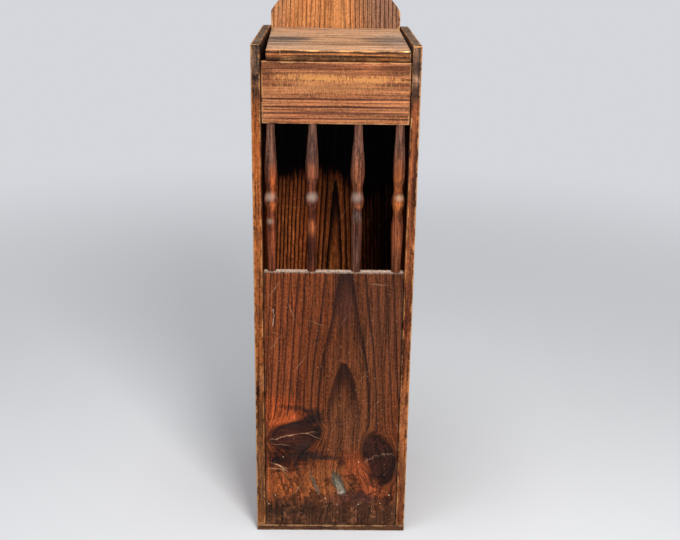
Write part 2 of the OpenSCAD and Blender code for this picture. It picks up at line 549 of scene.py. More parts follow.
    @cached_property
    def knot(self) -> bpy.types.NodeTree:
        """A knot: the grain flows round it, and inside are its own rings and a drying crack.

        Returns:
            The group.
        """
        group = EffectGroup(
            "knot", "grain middle half", "turn arch point", "inside core collar rings crack",
            "grain own_grain",
        )
        sheet, given, oval = group.sheet, group.given, group.oval()
        u, v = oval.u, oval.v
        wobble = sheet.ripple(given.grain, self.knot_wobble)
        round_distance = (u * u + v * v).root()
        almond_distance = v.size() + u * u
        radius = round_distance + (almond_distance - round_distance) * given.point
        radius = radius + (wobble - NOISE_MIDDLE) * self.wobble_share
        squared = (radius * radius).high(self.nearest_flow)
        parting = 1.0 - 1.0 / (squared * squared)
        rings = radius * self.knot_rings + wobble * self.knot_ring_wobble
        jag = (sheet.ripple(given.grain, self.crack_jag) - NOISE_MIDDLE) * self.crack_jag_share
        line = v - (1.0 - u * u) * given.arch - jag
        return group.give(
            grain=sheet.vector(oval.middle_across + oval.side * parting, oval.deep, oval.along),
            own_grain=sheet.vector(
                oval.middle_across + u * oval.half_across, oval.deep, oval.middle_along + v * oval.half_along
            ),
            inside=radius.fall(*self.knot_inside),
            core=radius.fall(*self.knot_core),
            collar=radius.step(*self.collar_start) * radius.fall(*self.collar_end),
            rings=rings - rings.floor(),
            crack=line.size().fall(*self.crack_edge) * u.size().fall(*self.knot_inside),
        )

    @cached_property
    def specks(self) -> bpy.types.NodeTree:
        """Tiny pale nicks and dark dots scattered over a surface.

        Returns:
            The group.
        """
        group = EffectGroup("specks", "place", "spacing amount", "pale dark")
        sheet, given = group.sheet, group.given
        place = sheet.vector_math("SCALE", given.place, None, None, 1.0 / given.spacing)
        distance, chance = sheet.cells(place)
        dot = distance.fall(*self.speck_edge)
        late_start = (chance - self.dark_speck_start).step(0.0, self.chance_blur)
        return group.give(
            pale=dot * self.rare(chance, given.amount),
            dark=dot * late_start * self.rare(chance, given.amount + self.dark_speck_start),
        )

    @cached_property
    def scratches(self) -> bpy.types.NodeTree:
        """Short thin scratches that all run one way.

        Returns:
            The group.
        """
        group = EffectGroup("scratches", "grain", "turn amount", "mask")
        sheet, given = group.sheet, group.given
        across, deep, along = sheet.parts(given.grain)
        cosine, sine = group.turned()
        sway = sheet.ripple(given.grain, self.scratch_waver) * self.scratch_sway
        turned = (across * cosine + along * sine + sway, deep, along * cosine - across * sine)
        place = sheet.vector(*(part / spacing for part, spacing in zip(turned, self.scratch_spacing)))
        distance, chance = sheet.cells(place)
        return group.give(mask=distance.fall(*self.scratch_edge) * self.rare(chance, given.amount))


class GrainWay(Enum):
    """Which way the grain runs in a board: the axes across, deep and along."""

    UP_FACING_FRONT = ("x", "y", "z")
    UP_FACING_SIDE = ("y", "x", "z")
    ACROSS_FACING_FRONT = ("z", "y", "x")
    ACROSS_FACING_UP = ("y", "z", "x")


class Blend(Enum):
    """How a patch colours the wood under it."""

    COVER = "MIX"
    # Multiplies the colour: used for stains and for painted shade and light.
    STAIN = "MULTIPLY"


class Layer(Enum):
    """Whether a patch lies under the grain, over it or over the wear as well."""

    UNDER = "under"
    OVER = "over"
    LAST = "last"


@dataclass(frozen=True)
class Spot:
    """A place on a board: millimetres across and along the grain, in the row's own frame."""

    middle: Span
    half: Span

    def inputs(self, *names: str) -> dict[str, Value]:
        """Gives an effect group its inputs.

        Args:
            names: The fields that the group takes besides the place.

        Returns:
            The inputs by name.
        """
        place = {"middle": (self.middle[0], 0.0, self.middle[1]), "half": (self.half[0], 1.0, self.half[1])}
        return {**place, **{name: getattr(self, name) for name in names}}


@dataclass(frozen=True)
class Patch(Spot):
    """A worn, stained or rubbed place on a board, or a place where light or shade is painted on it."""

    colour: Colour
    strength: float = 1.0
    turn: float = 0.0
    edge: float = 0.5
    ragged: float = 0.8
    scale: float = 0.12
    streaky: float = 0.25
    face: float = 0.0
    reach: float = 1000.0
    wave: float = 0.0
    blend: Blend = Blend.COVER
    layer: Layer = Layer.OVER
    on_lines: float = 0.0


@dataclass(frozen=True)
class Knot(Spot):
    """A knot in a board. One that isn't shown only bends the grain."""

    turn: float = 0.0
    arch: float = 0.2
    point: float = 0.2
    crack: float = 1.0
    shown: float = 1.0


@dataclass(frozen=True)
class RingLayout:
    """How a board was cut from its trunk: where the pith lay, and how the rings run."""

    pith: float
    crown: float = 18.0
    bend: float = 5.0
    curve: float = 0.12
    period: float = 135.0
    wander: float = 6.0
    fray: float = 0.25
    sharp: float = 0.3
    thin: float = 0.6
    shift: float = 0.0
    face: float = 0.0
    flare: float = 0.0
    flare_top: float = 0.0
    late_gain: float = 0.0
    late_top: float = 0.0
    uneven: float = 0.5


@dataclass(frozen=True)
class WoodFinish:
    """The finish of one wooden board."""

    name: str
    way: GrainWay
    early: Colour
    late: Colour
    warm: Colour
    bare: Colour
    rings: RingLayout
    heart: Colour = srgb(76, 36, 27)
    contrast: float = 0.8
    streaks: float = 0.45
    hairs: float = 0.45
    pores: float = 0.4
    clouds: float = 0.6
    wear_width: float = 1.6
    wear_ragged: float = 0.8
    wear_strength: float = 0.8
    grime: float = 0.5
    grime_width: float = 3.0
    grit: float = 0.3
    tone: float = 1.0
    specks: float = 0.02
    scratches: float = 0.1
    polish: float = 0.18
    roughness: float = 0.55
    gloss: float = 0.12
    bump: float = 0.3
    seed: float = 0.0
    patches: tuple[Patch, ...] = ()
    knots: tuple[Knot, ...] = ()

    def dark(self, share: float) -> Colour:
        """Gives a share of the late wood's colour."""
        return tuple(share * part for part in self.late)

    def dress(self, effects: WoodEffects, box: Box) -> bpy.types.Material:
        """Makes the finish's material for a board with these corners, in metres."""
        return WoodPainter(self, effects, box).draw()


class WoodPainter:
    """Draws a wooden finish in a new material, step by step on one running colour."""

    seed_spread = ((1.0, 0.0), (0.7, 3.1), (1.3, 7.7))
    brightest = 1.15
    darkest = 0.12
    mean_fibre = 0.5
    mean_grit = 0.1
    grit_lift = 0.4
    late_least = 0.72
    pore_dark = 0.3
    heights = {"streak": 0.3, "hair": 0.5, "pore": -0.5}
    late_height = 0.4
    knot_dark = 0.22
    knot_ring_share = 0.45
    knot_grit_share = 0.5
    core_cover = 0.94
    collar_least = 0.35
    collar_grit = 0.6
    crack_depth = 1.5
    grime_dark = 0.35
    speck_spacing = 5.0
    pale_cover = 0.7
    dark_cover = 0.6
    speck_dark = 0.2
    scratch_turns = (0.35, -0.6, 1.2, 1.5)
    scratch_cover = 0.32
    bare_roughness = 0.12
    relief_depth = 0.6

    def __init__(self, finish: WoodFinish, effects: WoodEffects, box: Box) -> None:
        """Starts the material.

        Args:
            finish: The finish.
            effects: The shared wood effects.
            box: The board's lowest and highest corners, in metres.
        """
        self.finish, self.effects, self.box = finish, effects, box
        self.paint = Paint(finish.name)
        self.sheet = self.paint.sheet
        self.place = self.paint.place()
        by_axis = dict(zip("xyz", self.sheet.parts(self.place)))
        self.grain = self.sheet.vector(*(by_axis[axis] for axis in finish.way.value))
        self.seed = tuple(finish.seed * factor + shift for factor, shift in self.seed_spread)

    def draw(self) -> bpy.types.Material:
        """Draws every step in order.

        Returns:
            The finished material.
        """
        finish, sheet = self.finish, self.sheet
        self.grow()
        self.colour_wood()
        self.colour_knots()
        self.lay_patches(Layer.OVER)
        shade = self.shade()
        self.colour = sheet.mix(1.0, self.colour, sheet.vector(shade, shade, shade), "MULTIPLY")
        bare = self.rub()
        self.scratch()
        self.lay_patches(Layer.LAST)
        roughness = finish.roughness + (1.0 - self.fibre.streak) * finish.polish + bare * self.bare_roughness
        self.paint.set(
            Base_Color=self.colour, Specular_IOR_Level=finish.gloss, Roughness=roughness,
            Normal=sheet.relief(self.height(), finish.bump, self.relief_depth),
        )
        return self.paint.material

    def over(self, share: Value, colour: Value) -> None:
        """Lays another colour over the running colour."""
        self.colour = self.sheet.mix(share, self.colour, colour)

    def grow(self) -> None:
        """Lets the grain flow round the knots, and draws the rings and the fibres."""
        flowing = self.grain
        self.knots = []
        for knot in self.finish.knots:
            made = self.sheet.group(self.effects.knot, grain=flowing, **knot.inputs("turn", "arch", "point"))
            self.knots.append((knot, made))
            flowing = made.grain
        self.rings = self.sheet.group(
            self.effects.growth_rings, grain=flowing, seed=self.seed, **asdict(self.finish.rings)
        )
        for knot, made in self.knots:
            if knot.shown == 0.0 or knot.half[1] > knot.half[0]:
                flowing = self.sheet.mix(made.inside, flowing, made.own_grain)
        self.fibre = self.sheet.group(self.effects.fibre, grain=flowing, seed=self.seed)

    def usual_shade(self) -> float:
        """Gives the shade that the fibres come to on the whole."""
        fibres = (self.finish.streaks + self.finish.hairs) * self.mean_fibre
        return self.brightest - fibres - self.finish.grit * self.mean_grit

    def shade(self) -> Signal:
        """Works out the shade of the fibres, which is laid over the patches too.

        Returns:
            The shade, around 1.
        """
        finish, fibre = self.finish, self.fibre
        shade = self.brightest - (1.0 - fibre.streak) * finish.streaks - (1.0 - fibre.hair) * finish.hairs
        shade = shade - (1.0 - fibre.grit) * finish.grit + finish.grit * self.grit_lift
        return shade.high(self.darkest) / self.usual_shade()

    def colour_wood(self) -> None:
        """Colours the early wood, the late wood and the pores."""
        finish, fibre, rings = self.finish, self.fibre, self.rings
        self.colour = self.sheet.mix(fibre.cloud * finish.clouds, finish.early, finish.warm)
        self.lay_patches(Layer.UNDER)
        streaked = self.late_least + fibre.streak * (1.0 - self.late_least)
        self.over(rings.late * rings.varied * streaked * finish.contrast, finish.late)
        level = self.usual_shade() * finish.tone
        self.colour = self.sheet.mix(1.0, self.colour, (level, level, level), "MULTIPLY")
        self.over(fibre.pore * finish.pores, finish.dark(self.pore_dark))

    def colour_knots(self) -> None:
        """Colours the knots, with their dark collars and pale cracks."""
        dark = self.finish.dark(self.knot_dark)
        grit = self.fibre.grit
        for knot, made in self.knots:
            ringed = made.rings * self.knot_ring_share + grit * self.knot_grit_share
            core = self.sheet.mix(ringed, dark, self.finish.heart)
            self.over(made.core * self.core_cover * knot.shown, core)
            self.over(made.collar * (self.collar_least + grit * self.collar_grit) * knot.shown, dark)
            self.over(made.crack * knot.crack * knot.shown, self.finish.bare)

    def height(self) -> Signal:
        """Raises late wood and fibres, and sinks pores and cracks.

        Returns:
            The surface's height.
        """
        height = self.rings.late * self.late_height
        for name, share in self.heights.items():
            height = height + getattr(self.fibre, name) * share
        for knot, made in self.knots:
            height = height - made.crack * self.crack_depth * knot.shown
        return height

    def lay_patches(self, layer: Layer) -> None:
        """Lays patches on the colour.

        Args:
            layer: The layer whose patches are laid.
        """
        names = ("turn", "edge", "ragged", "scale", "streaky", "face", "reach", "wave")
        for patch in self.finish.patches:
            if patch.layer is layer:
                made = self.sheet.group(self.effects.patch, grain=self.grain, **patch.inputs(*names))
                share = made.mask * patch.strength
                if patch.on_lines > 0:
                    share = share * (1.0 - patch.on_lines + self.rings.late * patch.on_lines)
                self.colour = self.sheet.mix(share, self.colour, patch.colour, patch.blend.value)

    def scratch(self) -> None:
        """Scratches the finish in several directions."""
        for turn in self.scratch_turns:
            made = self.sheet.group(
                self.effects.scratches, grain=self.grain, turn=turn, amount=self.finish.scratches
            )
            self.over(made.mask * self.scratch_cover, self.finish.bare)

    def rub(self) -> Signal:
        """Lays grime along the edges, rubs them bare and scatters nicks.

        Returns:
            The mask of bare wood.
        """
        finish, sheet = self.finish, self.sheet
        low, high = self.box
        arris = sheet.group(
            self.effects.arris, place=self.place, centre=(low + high) / 2 / MM, half=(high - low) / 2 / MM,
            width=finish.wear_width, ragged=finish.wear_ragged,
        )
        self.over(arris.distance.fall(0.0, finish.grime_width) * finish.grime, finish.dark(self.grime_dark))
        bare = arris.bare * finish.wear_strength
        self.over(bare, finish.bare)
        specks = sheet.group(
            self.effects.specks, place=self.place, spacing=self.speck_spacing, amount=finish.specks
        )
        self.over(specks.pale * self.pale_cover, finish.bare)
        self.over(specks.dark * self.dark_cover, finish.dark(self.speck_dark))
        return bare


@dataclass(frozen=True)
class IronFinish:
    """Dark, slightly rusted iron."""

    name: str = "aged_iron"
    dark: Colour = srgb(52, 46, 42)
    rust: Colour = srgb(96, 58, 36)
    roughness: float = 0.55
    rust_roughness: float = 0.3
    metallic: float = 0.85
    rust_metallic: float = -0.75
    bloom: Ripple = Ripple(0.42, 0.42, 4.0, 0.65, (0.42, 0.62))
    pitting: Ripple = Ripple(1.5, 1.5, 2.0)
    pit_strength: float = 0.4
    pit_depth: float = 0.2

    def dress(self) -> bpy.types.Material:
        """Makes the material.

        Returns:
            The material.
        """
        paint = Paint(self.name)
        sheet, place = paint.sheet, paint.place()
        rust = sheet.ripple(place, self.bloom).step(*self.bloom.limits)
        paint.set(
            Base_Color=sheet.mix(rust, self.dark, self.rust),
            Metallic=self.metallic + rust * self.rust_metallic,
            Roughness=self.roughness + rust * self.rust_roughness,
            Normal=sheet.relief(sheet.ripple(place, self.pitting), self.pit_strength, self.pit_depth),
        )
        return paint.material


class Element(Enum):
    """What is selected in edit mode: the operators' word for it, and the mesh's."""

    POINTS = ("VERT", "verts")
    EDGES = ("EDGE", "edges")
    FACES = ("FACE", "faces")


class Bench:
    """The workbench: operators that shape one piece at a time."""

    @staticmethod
    def clear() -> None:
        """Deselects everything, so that an operator touches only the piece in hand."""
        if bpy.context.object and bpy.context.object.mode != "OBJECT":
            bpy.ops.object.mode_set(mode="OBJECT")
        bpy.ops.object.select_all(action="DESELECT")

    @classmethod
    def take(cls, piece: bpy.types.Object) -> None:
        """Makes a piece the only selected and active one.

        Args:
            piece: The piece.
        """
        cls.clear()
        piece.select_set(True)
        bpy.context.view_layer.objects.active = piece

    @classmethod
    def settle(cls, piece: bpy.types.Object) -> None:
        """Puts a piece's place, turn and size into its mesh."""
        cls.take(piece)
        bpy.ops.object.transform_apply(location=True, rotation=True, scale=True)

    @classmethod
    def block(cls, name: str, low: Vector, high: Vector) -> bpy.types.Object:
        """Makes a plain block between two corners, in metres.

        Args:
            name: The piece's name.
            low: The lowest corner.
            high: The highest corner.

        Returns:
            The block, with its place in its mesh.
        """
        cls.clear()
        bpy.ops.mesh.primitive_cube_add(size=1.0, location=(low + high) / 2)
        piece = bpy.context.object
        piece.name = name
        piece.scale = high - low
        cls.settle(piece)
        return piece

    @classmethod
    def rod(cls, name: str, radius: float, start: Vector, end: Vector, sides: int) -> bpy.types.Object:
        """Makes a plain rod between two points, in metres.

        Args:
            name: The piece's name.
            radius: The rod's radius.
            start: The middle of one end.
            end: The middle of the other end.
            sides: How many sides it has.

        Returns:
            The rod, with its place in its mesh.
        """
        cls.clear()
        length, middle = (end - start).length, (start + end) / 2
        bpy.ops.mesh.primitive_cylinder_add(vertices=sides, radius=radius, depth=length, location=middle)
        piece = bpy.context.object
        piece.name = name
        piece.rotation_mode = "QUATERNION"
        piece.rotation_quaternion = (end - start).to_track_quat("Z", "Y")
        cls.settle(piece)
        return piece

    @classmethod
    def pick(cls, piece: bpy.types.Object, element: Element, wanted: Callable[[object], bool]) -> None:
        """Goes into edit mode and selects what passes a test.

        Args:
            piece: The piece.
            element: Whether points, edges or faces are selected.
            wanted: Says of each one whether it is selected.
        """
        mode, kept_as = element.value
        cls.take(piece)
        bpy.ops.object.mode_set(mode="EDIT")
        bpy.ops.mesh.select_mode(type=mode)
        bpy.ops.mesh.select_all(action="DESELECT")
        for item in getattr(bmesh.from_edit_mesh(piece.data), kept_as):
            item.select_set(wanted(item))
        bmesh.update_edit_mesh(piece.data)

    @classmethod
    def ease(cls, piece: bpy.types.Object, width: float, steps: int = 3, fullness: float = 0.6) -> None:
        """Rounds all edges of a block.

        Args:
            piece: The block.
            width: How far the rounding reaches in from the edge, in metres.
            steps: How many faces it has.
            fullness: How full its curve is.
        """
        cls.pick(piece, Element.EDGES, lambda edge: True)
        bpy.ops.mesh.bevel(
            offset=width, offset_type="OFFSET", segments=steps, profile=fullness, affect="EDGES"
        )
        bpy.ops.object.mode_set(mode="OBJECT")

    @classmethod
    def divide(cls, piece: bpy.types.Object, axis: int, cuts: int) -> None:
        """Cuts all faces of a block across one axis.

        Args:
            piece: The block.
            axis: The axis along which it is cut into lengths.
            cuts: How many cuts are made.
        """
        places = [vertex.co[axis] for vertex in piece.data.vertices]
        enough = (max(places) - min(places)) / 2

        def runs_along(edge: bmesh.types.BMEdge) -> bool:
            """Says whether an edge runs the whole length of the block."""
            start, end = edge.verts
            return abs(end.co[axis] - start.co[axis]) > enough

        cls.pick(piece, Element.EDGES, runs_along)
        bpy.ops.mesh.subdivide(number_cuts=cuts)
        bpy.ops.object.mode_set(mode="OBJECT")

    @classmethod
    def scale_rows(
        cls, piece: bpy.types.Object, axis: int, factors: Callable[[float], Colour], centre: Vector,
        wanted: Callable[[Vector], bool],
    ) -> None:
        """Scales a piece row by row. A row is all points at one place along an axis.

        Args:
            piece: The piece.
            axis: The axis along which the rows follow each other.
            factors: Gives from a row's place its three scale factors.
            centre: The point that stays in place.
            wanted: Says whether a point takes part.
        """
        cls.pick(piece, Element.POINTS, lambda point: False)
        rows: dict[float, list[int]] = {}
        for vertex in bmesh.from_edit_mesh(piece.data).verts:
            if wanted(vertex.co):
                rows.setdefault(round(vertex.co[axis], ROW_DIGITS), []).append(vertex.index)
        for place, row in sorted(rows.items()):
            bpy.ops.mesh.select_all(action="DESELECT")
            mesh = bmesh.from_edit_mesh(piece.data)
            mesh.verts.ensure_lookup_table()
            for index in row:
                mesh.verts[index].select_set(True)
            bmesh.update_edit_mesh(piece.data)
            bpy.ops.transform.resize(value=factors(place), center_override=centre)
        bpy.ops.object.mode_set(mode="OBJECT")

    @classmethod
    def press(
        cls, piece: bpy.types.Object, weight: Callable[[Vector], float], strength: float, grain: float,
        level: float = 0.5, layers: int = 3, least: float = 0.001,
    ) -> None:
        """Pushes part of a piece's surface in and out with noise.

        Args:
            piece: The piece.
            weight: Gives from a point how far it takes part, from 0 to 1.
            strength: How far it is pushed, in metres.
            grain: The size of the noise, in metres.
            level: The noise value that stays in place.
            layers: How many finer layers the noise has.
            least: The smallest weight that counts.
        """
        group = piece.vertex_groups.new(name="pressed")
        for vertex in piece.data.vertices:
            share = weight(vertex.co)
            if share > least:
                group.add([vertex.index], share, "REPLACE")
        cls.take(piece)
        texture = bpy.data.textures.new("pressed", "CLOUDS")
        texture.noise_scale = grain
        texture.noise_depth = layers
        push = piece.modifiers.new("pressed", "DISPLACE")
        push.vertex_group = group.name
        push.strength = strength
        push.mid_level = level
        push.texture = texture
        push.texture_coords = "LOCAL"
        bpy.ops.object.modifier_apply(modifier=push.name)
        piece.vertex_groups.clear()

    @classmethod
    def bore(cls, piece: bpy.types.Object, tool: bpy.types.Object) -> None:
        """Cuts a closed tool's shape out of a piece, and removes the tool.

        Args:
            piece: The piece.
            tool: The tool.
        """
        cls.take(piece)
        cut = piece.modifiers.new("bored", "BOOLEAN")
        cut.operation = "DIFFERENCE"
        cut.solver = "EXACT"
        cut.object = tool
        bpy.ops.object.modifier_apply(modifier=cut.name)
        bpy.data.objects.remove(tool)

    @classmethod
    def join(cls, pieces: Sequence[bpy.types.Object]) -> bpy.types.Object:
        """Joins several pieces into the first one.

        Args:
            pieces: The pieces.

        Returns:
            The first piece, which now holds them all.
        """
        cls.clear()
        for piece in pieces:
            piece.select_set(True)
        bpy.context.view_layer.objects.active = pieces[0]
        bpy.ops.object.join()
        return pieces[0]

    @classmethod
    def smooth(cls, piece: bpy.types.Object, degrees: float) -> None:
        """Shades a piece smoothly except at sharp edges."""
        cls.take(piece)
        bpy.ops.object.shade_smooth_by_angle(angle=math.radians(degrees))


@dataclass
class WoodenPiece:
    """A piece of wood that takes a node's place."""

    node: str
    slot: str
    finish: WoodFinish
    body: str = field(default=CARCASS, kw_only=True)

    @cached_property
    def box(self) -> Box:
        """Gives the node's lowest and highest corners, in metres."""
        low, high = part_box(self.node)
        return Vector(low), Vector(high)

    def dress(self, piece: bpy.types.Object, effects: WoodEffects) -> None:
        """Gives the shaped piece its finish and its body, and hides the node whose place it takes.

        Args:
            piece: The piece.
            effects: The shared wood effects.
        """
        piece.data.materials.clear()
        piece.data.materials.append(self.finish.dress(effects, self.box))
        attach(piece, self.body)
        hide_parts(self.node)
        LOG.info("%s: %d faces on %s", piece.name, len(piece.data.polygons), self.body)


@dataclass
class Board(WoodenPiece):
    """One board of the box."""

    ease: float = 1.2
    erosion: float = 1.0
    erosion_grain: float = 14.0
    erosion_level: float = 0.75
    erosion_reach: float = 2.2
    sharp_angle: float = 40.0
    cuts: tuple[int, int, int] = (12, 2, 60)
    shy: tuple[float, float, float] = (0.0, 0.0, 0.0)

    def build(self, effects: WoodEffects) -> None:
        """Makes the board, wears it and gives it its finish.

        Args:
            effects: The shared wood effects.
        """
        self.piece = self.shape()
        self.wear()
        self.fit()
        Bench.smooth(self.piece, self.sharp_angle)
        self.dress(self.piece, effects)

    def cut(self, low: Vector, high: Vector) -> bpy.types.Object:
        """Cuts a board to size, eases its edges and divides its faces.

        Args:
            low: Its lowest corner.
            high: Its highest corner.

        Returns:
            The board.
        """
        board = Bench.block(self.node + "_board", low, high)
        Bench.ease(board, self.ease * MM)
        for axis, cuts in enumerate(self.cuts):
            Bench.divide(board, axis, cuts)
        return board

    def shape(self) -> bpy.types.Object:
        """Cuts the board to its node's size, a little shy of it where it slides in."""
        shy = Vector(self.shy) * MM
        return self.cut(self.box[0] + shy, self.box[1] - shy)

    def top(self, x: float) -> float:
        """Gives the board's height at a place across it, in metres."""
        return self.box[1].z

    def edge_share(self, point: Vector) -> float:
        """Says how near a point is to an edge of the board.

        Args:
            point: A point on the board, in metres.

        Returns:
            1 at an edge and 0 away from all edges.
        """
        low, high = self.box
        ends = (high.x, high.y, self.top(point.x))
        depths = sorted(min(place - start, end - place) for place, start, end in zip(point, low, ends))
        return max(0.0, 1.0 - max(depths[1], 0.0) / (self.erosion_reach * self.ease * MM))

    def wear(self) -> None:
        """Rubs the edges unevenly."""
        Bench.press(
            self.piece, self.edge_share, self.erosion * MM, self.erosion_grain * MM, self.erosion_level
        )

    def fit(self) -> None:
        """Cuts what other pieces need. A plain board needs nothing."""


@dataclass
class SideBoard(Board):
    """A side board, with its nails' heads let in from outside."""

    outward: float = 1.0
    nails: tuple[str, ...] = ()
    recess: float = 1.4
    clearance: float = 0.25
    overcut: float = 2.0
    recess_sides: int = 20
    weld: float = 1e-6

    def fit(self) -> None:
        """Lets in the heads of the nails and of the pivot pin."""
        low, high = self.box
        outside = (high if self.outward > 0 else low).x
        start = outside + self.outward * self.overcut * MM
        end = outside - self.outward * self.recess * MM
        tools = [
            Bench.rod(
                "head_recess", radius + self.clearance * MM, Vector((start, y, z)), Vector((end, y, z)),
                self.recess_sides,
            )
            for node in self.nails for y, z, radius in self.heads(node)
        ]
        Bench.bore(self.piece, Bench.join(tools))

    def heads(self, node: str) -> list[tuple[float, float, float]]:
        """Finds the heads of a node's nails.

        Args:
            node: The node.

        Returns:
            Each head's Y, Z and radius, in metres.
        """
        mesh = bmesh.new()
        mesh.from_mesh(frame["nodes"][node].data)
        bmesh.ops.remove_doubles(mesh, verts=mesh.verts, dist=self.weld)
        todo = set(mesh.verts)
        found = []
        while todo:
            nail, front = [], [todo.pop()]
            while front:
                vertex = front.pop()
                nail.append(vertex.co.copy())
                near = {edge.other_vert(vertex) for edge in vertex.link_edges} & todo
                todo -= near
                front.extend(near)
            rows = [point.y for point in nail]
            heights = [point.z for point in nail]
            middle = (min(rows) + max(rows)) / 2, (min(heights) + max(heights)) / 2
            found.append((*middle, (max(rows) - min(rows)) / 2))
        mesh.free()
        return sorted(found)


@dataclass
class BackBoard(Board):
    """The back board, with its arched crest and hanging hole."""

    side_top: float = 650.0
    shoulder: float = 670.0
    crown: float = 718.0
    hole_radius: float = 5.0
    hole_drop: float = 18.0
    hole_overcut: float = 5.0
    hole_sides: int = 32

    def top(self, x: float) -> float:
        """Gives the arch's height at a place across the board.

        Args:
            x: The place across, in metres.

        Returns:
            The height, in metres.
        """
        low, high = self.box
        half = (high.x - low.x) / 2
        rise = (self.crown - self.shoulder) * MM
        radius = (half * half + rise * rise) / (2 * rise)
        return self.crown * MM - radius + math.sqrt(max(radius * radius - x * x, 0.0))

    def shape(self) -> bpy.types.Object:
        """Cuts the board to size and draws its top down to the arch.

        Returns:
            The board.
        """
        board = super().shape()
        start = self.side_top * MM
        full = self.box[1].z - start

        def lower(x: float) -> Colour:
            """Gives how far the top is drawn down at a place across."""
            return 1.0, 1.0, (self.top(x) - start) / full

        Bench.scale_rows(board, 0, lower, Vector((0.0, 0.0, start)), lambda point: point.z > start)
        return board

    def fit(self) -> None:
        """Bores the hanging hole."""
        low, high = self.box
        height = (self.crown - self.hole_drop) * MM
        start = Vector((0.0, low.y - self.hole_overcut * MM, height))
        end = Vector((0.0, high.y + self.hole_overcut * MM, height))
        Bench.bore(self.piece, Bench.rod("hole_tool", self.hole_radius * MM, start, end, self.hole_sides))


@dataclass
class Lid(Board):
    """The lid, which lies between the sides on two pins."""

    thickness: float = 13.0
    pitch: float = 1.2
    taper: float = 5.0
    heel: float = 9.2
    arris_reach: float = 6.0
    arris_depth: float = 3.0
    wave: float = 3.2
    wave_grain: float = 26.0
    wave_level: float = 0.62

    def shape(self) -> bpy.types.Object:
        """Cuts the lid to size, narrows its left end, rounds its heel and slopes it to the front.

        Returns:
            The lid.
        """
        joint = next(item for item in frame["joints"] if item["child"] == self.body)
        pivot = Vector(joint["pos_m"])
        low, high = self.box
        heel = self.heel * MM
        half = self.thickness / 2 * MM
        reach = (pivot.y - low.y) / math.cos(math.radians(self.pitch))
        lid = self.cut(Vector((low.x, -reach, -half)), Vector((high.x, heel, half)))

        def narrow(y: float) -> Colour:
            """Gives how far the lid is narrowed at a distance from the pivot."""
            return 1.0 - self.taper * MM * max(0.0, -y) / reach / (high.x - low.x), 1.0, 1.0

        def round_heel(z: float) -> Colour:
            """Gives how far the heel is drawn in at a height."""
            return 1.0, math.sqrt(max(heel ** 2 - z ** 2, 0.0)) / heel, 1.0

        Bench.scale_rows(lid, 1, narrow, Vector((high.x, 0.0, 0.0)), lambda point: point.y < 0)
        Bench.scale_rows(lid, 2, round_heel, Vector((0.0, 0.0, 0.0)), lambda point: point.y > 0)
        lid.location = pivot
        lid.rotation_euler.x = math.radians(self.pitch)
        Bench.settle(lid)
        return lid

    def wear(self) -> None:
        """Rubs the edges, and wears the front arris into waves."""
        super().wear()
        front = self.box[0].y
        near = front + self.arris_depth * MM
        top = max(vertex.co.z for vertex in self.piece.data.vertices if vertex.co.y < near)

        def front_arris(point: Vector) -> float:
            """Says how near a point is to the front arris."""
            return max(0.0, 1.0 - math.hypot(point.y - front, point.z - top) / (self.arris_reach * MM))

        Bench.press(self.piece, front_arris, self.wave * MM, self.wave_grain * MM, self.wave_level)


@dataclass(frozen=True)
class TurnedShape:
    """Diameters of one spindle from top to bottom, in millimetres. Each was turned by eye."""

    top: float
    upper: float
    upper_neck: float
    bulb: float
    lower_neck: float
    lower: float
    bottom: float
    bulb_drop: float = 1.7
    neck_rise: float = 14.0
    swell_rise: float = 33.0

    def radius(self, height: float, half: float) -> float:
        """Gives the turned radius at a height from the middle.

        Args:
            height: The height, in millimetres.
            half: Half the length between the shoulders, in millimetres.

        Returns:
            The radius, in millimetres.
        """
        rises = (-self.swell_rise, -self.neck_rise, 0.0, self.neck_rise, self.swell_rise)
        heights = (-half, *(rise - self.bulb_drop for rise in rises), half)
        widths = (
            self.bottom, self.lower, self.lower_neck, self.bulb, self.upper_neck, self.upper, self.top
        )
        stations = list(zip(heights, widths))
        for (low, low_width), (high, high_width) in zip(stations, stations[1:]):
            if height <= high:
                share = max(0.0, (height - low) / (high - low))
                return (low_width + (high_width - low_width) * (1 - math.cos(math.pi * share)) / 2) / 2
        return self.top / 2


@dataclass
class Spindle(WoodenPiece):
    """A turned spindle with a bulb, two necks, two swellings and a tenon at each end."""

    turned: TurnedShape
    tenon: float = 7.0
    tenon_length: float = 12.0
    rings: int = 62
    sides: int = 40
    uneven: float = 0.5
    uneven_grain: float = 16.0
    sharp_angle: float = 60.0
    facing_up: float = 0.9

    def build(self, effects: WoodEffects) -> None:
        """Turns the spindle and gives it its finish.

        Args:
            effects: The shared wood effects.
        """
        piece = self.turn()
        Bench.press(piece, lambda point: 1.0, self.uneven * MM, self.uneven_grain * MM)
        Bench.smooth(piece, self.sharp_angle)
        self.dress(piece, effects)

    def turn(self) -> bpy.types.Object:
        """Draws the spindle up ring by ring from its lower tenon.

        Returns:
            The turned spindle.
        """
        low, high = self.box
        middle = (low + high) / 2
        foot = Vector((middle.x, middle.y, low.z))
        tip = foot + Vector((0.0, 0.0, self.tenon_length * MM))
        radius = self.tenon / 2
        piece = Bench.rod(self.node + "_turned", radius * MM, foot, tip, self.sides)
        half = (high.z - low.z) / 2 / MM - self.tenon_length
        step = 2 * half / self.rings
        rises = [0.0] + [step] * self.rings + [0.0, self.tenon_length]
        radii = [self.turned.radius(step * ring - half, half) for ring in range(self.rings + 1)]
        Bench.pick(piece, Element.FACES, lambda face: face.normal.z > self.facing_up)
        for rise, wanted in zip(rises, radii + [radius, radius]):
            tip.z += rise * MM
            bpy.ops.mesh.extrude_region_move(TRANSFORM_OT_translate={"value": (0.0, 0.0, rise * MM)})
            bpy.ops.transform.resize(value=(wanted / radius, wanted / radius, 1.0), center_override=tip)
            radius = wanted
        bpy.ops.object.mode_set(mode="OBJECT")
        return piece


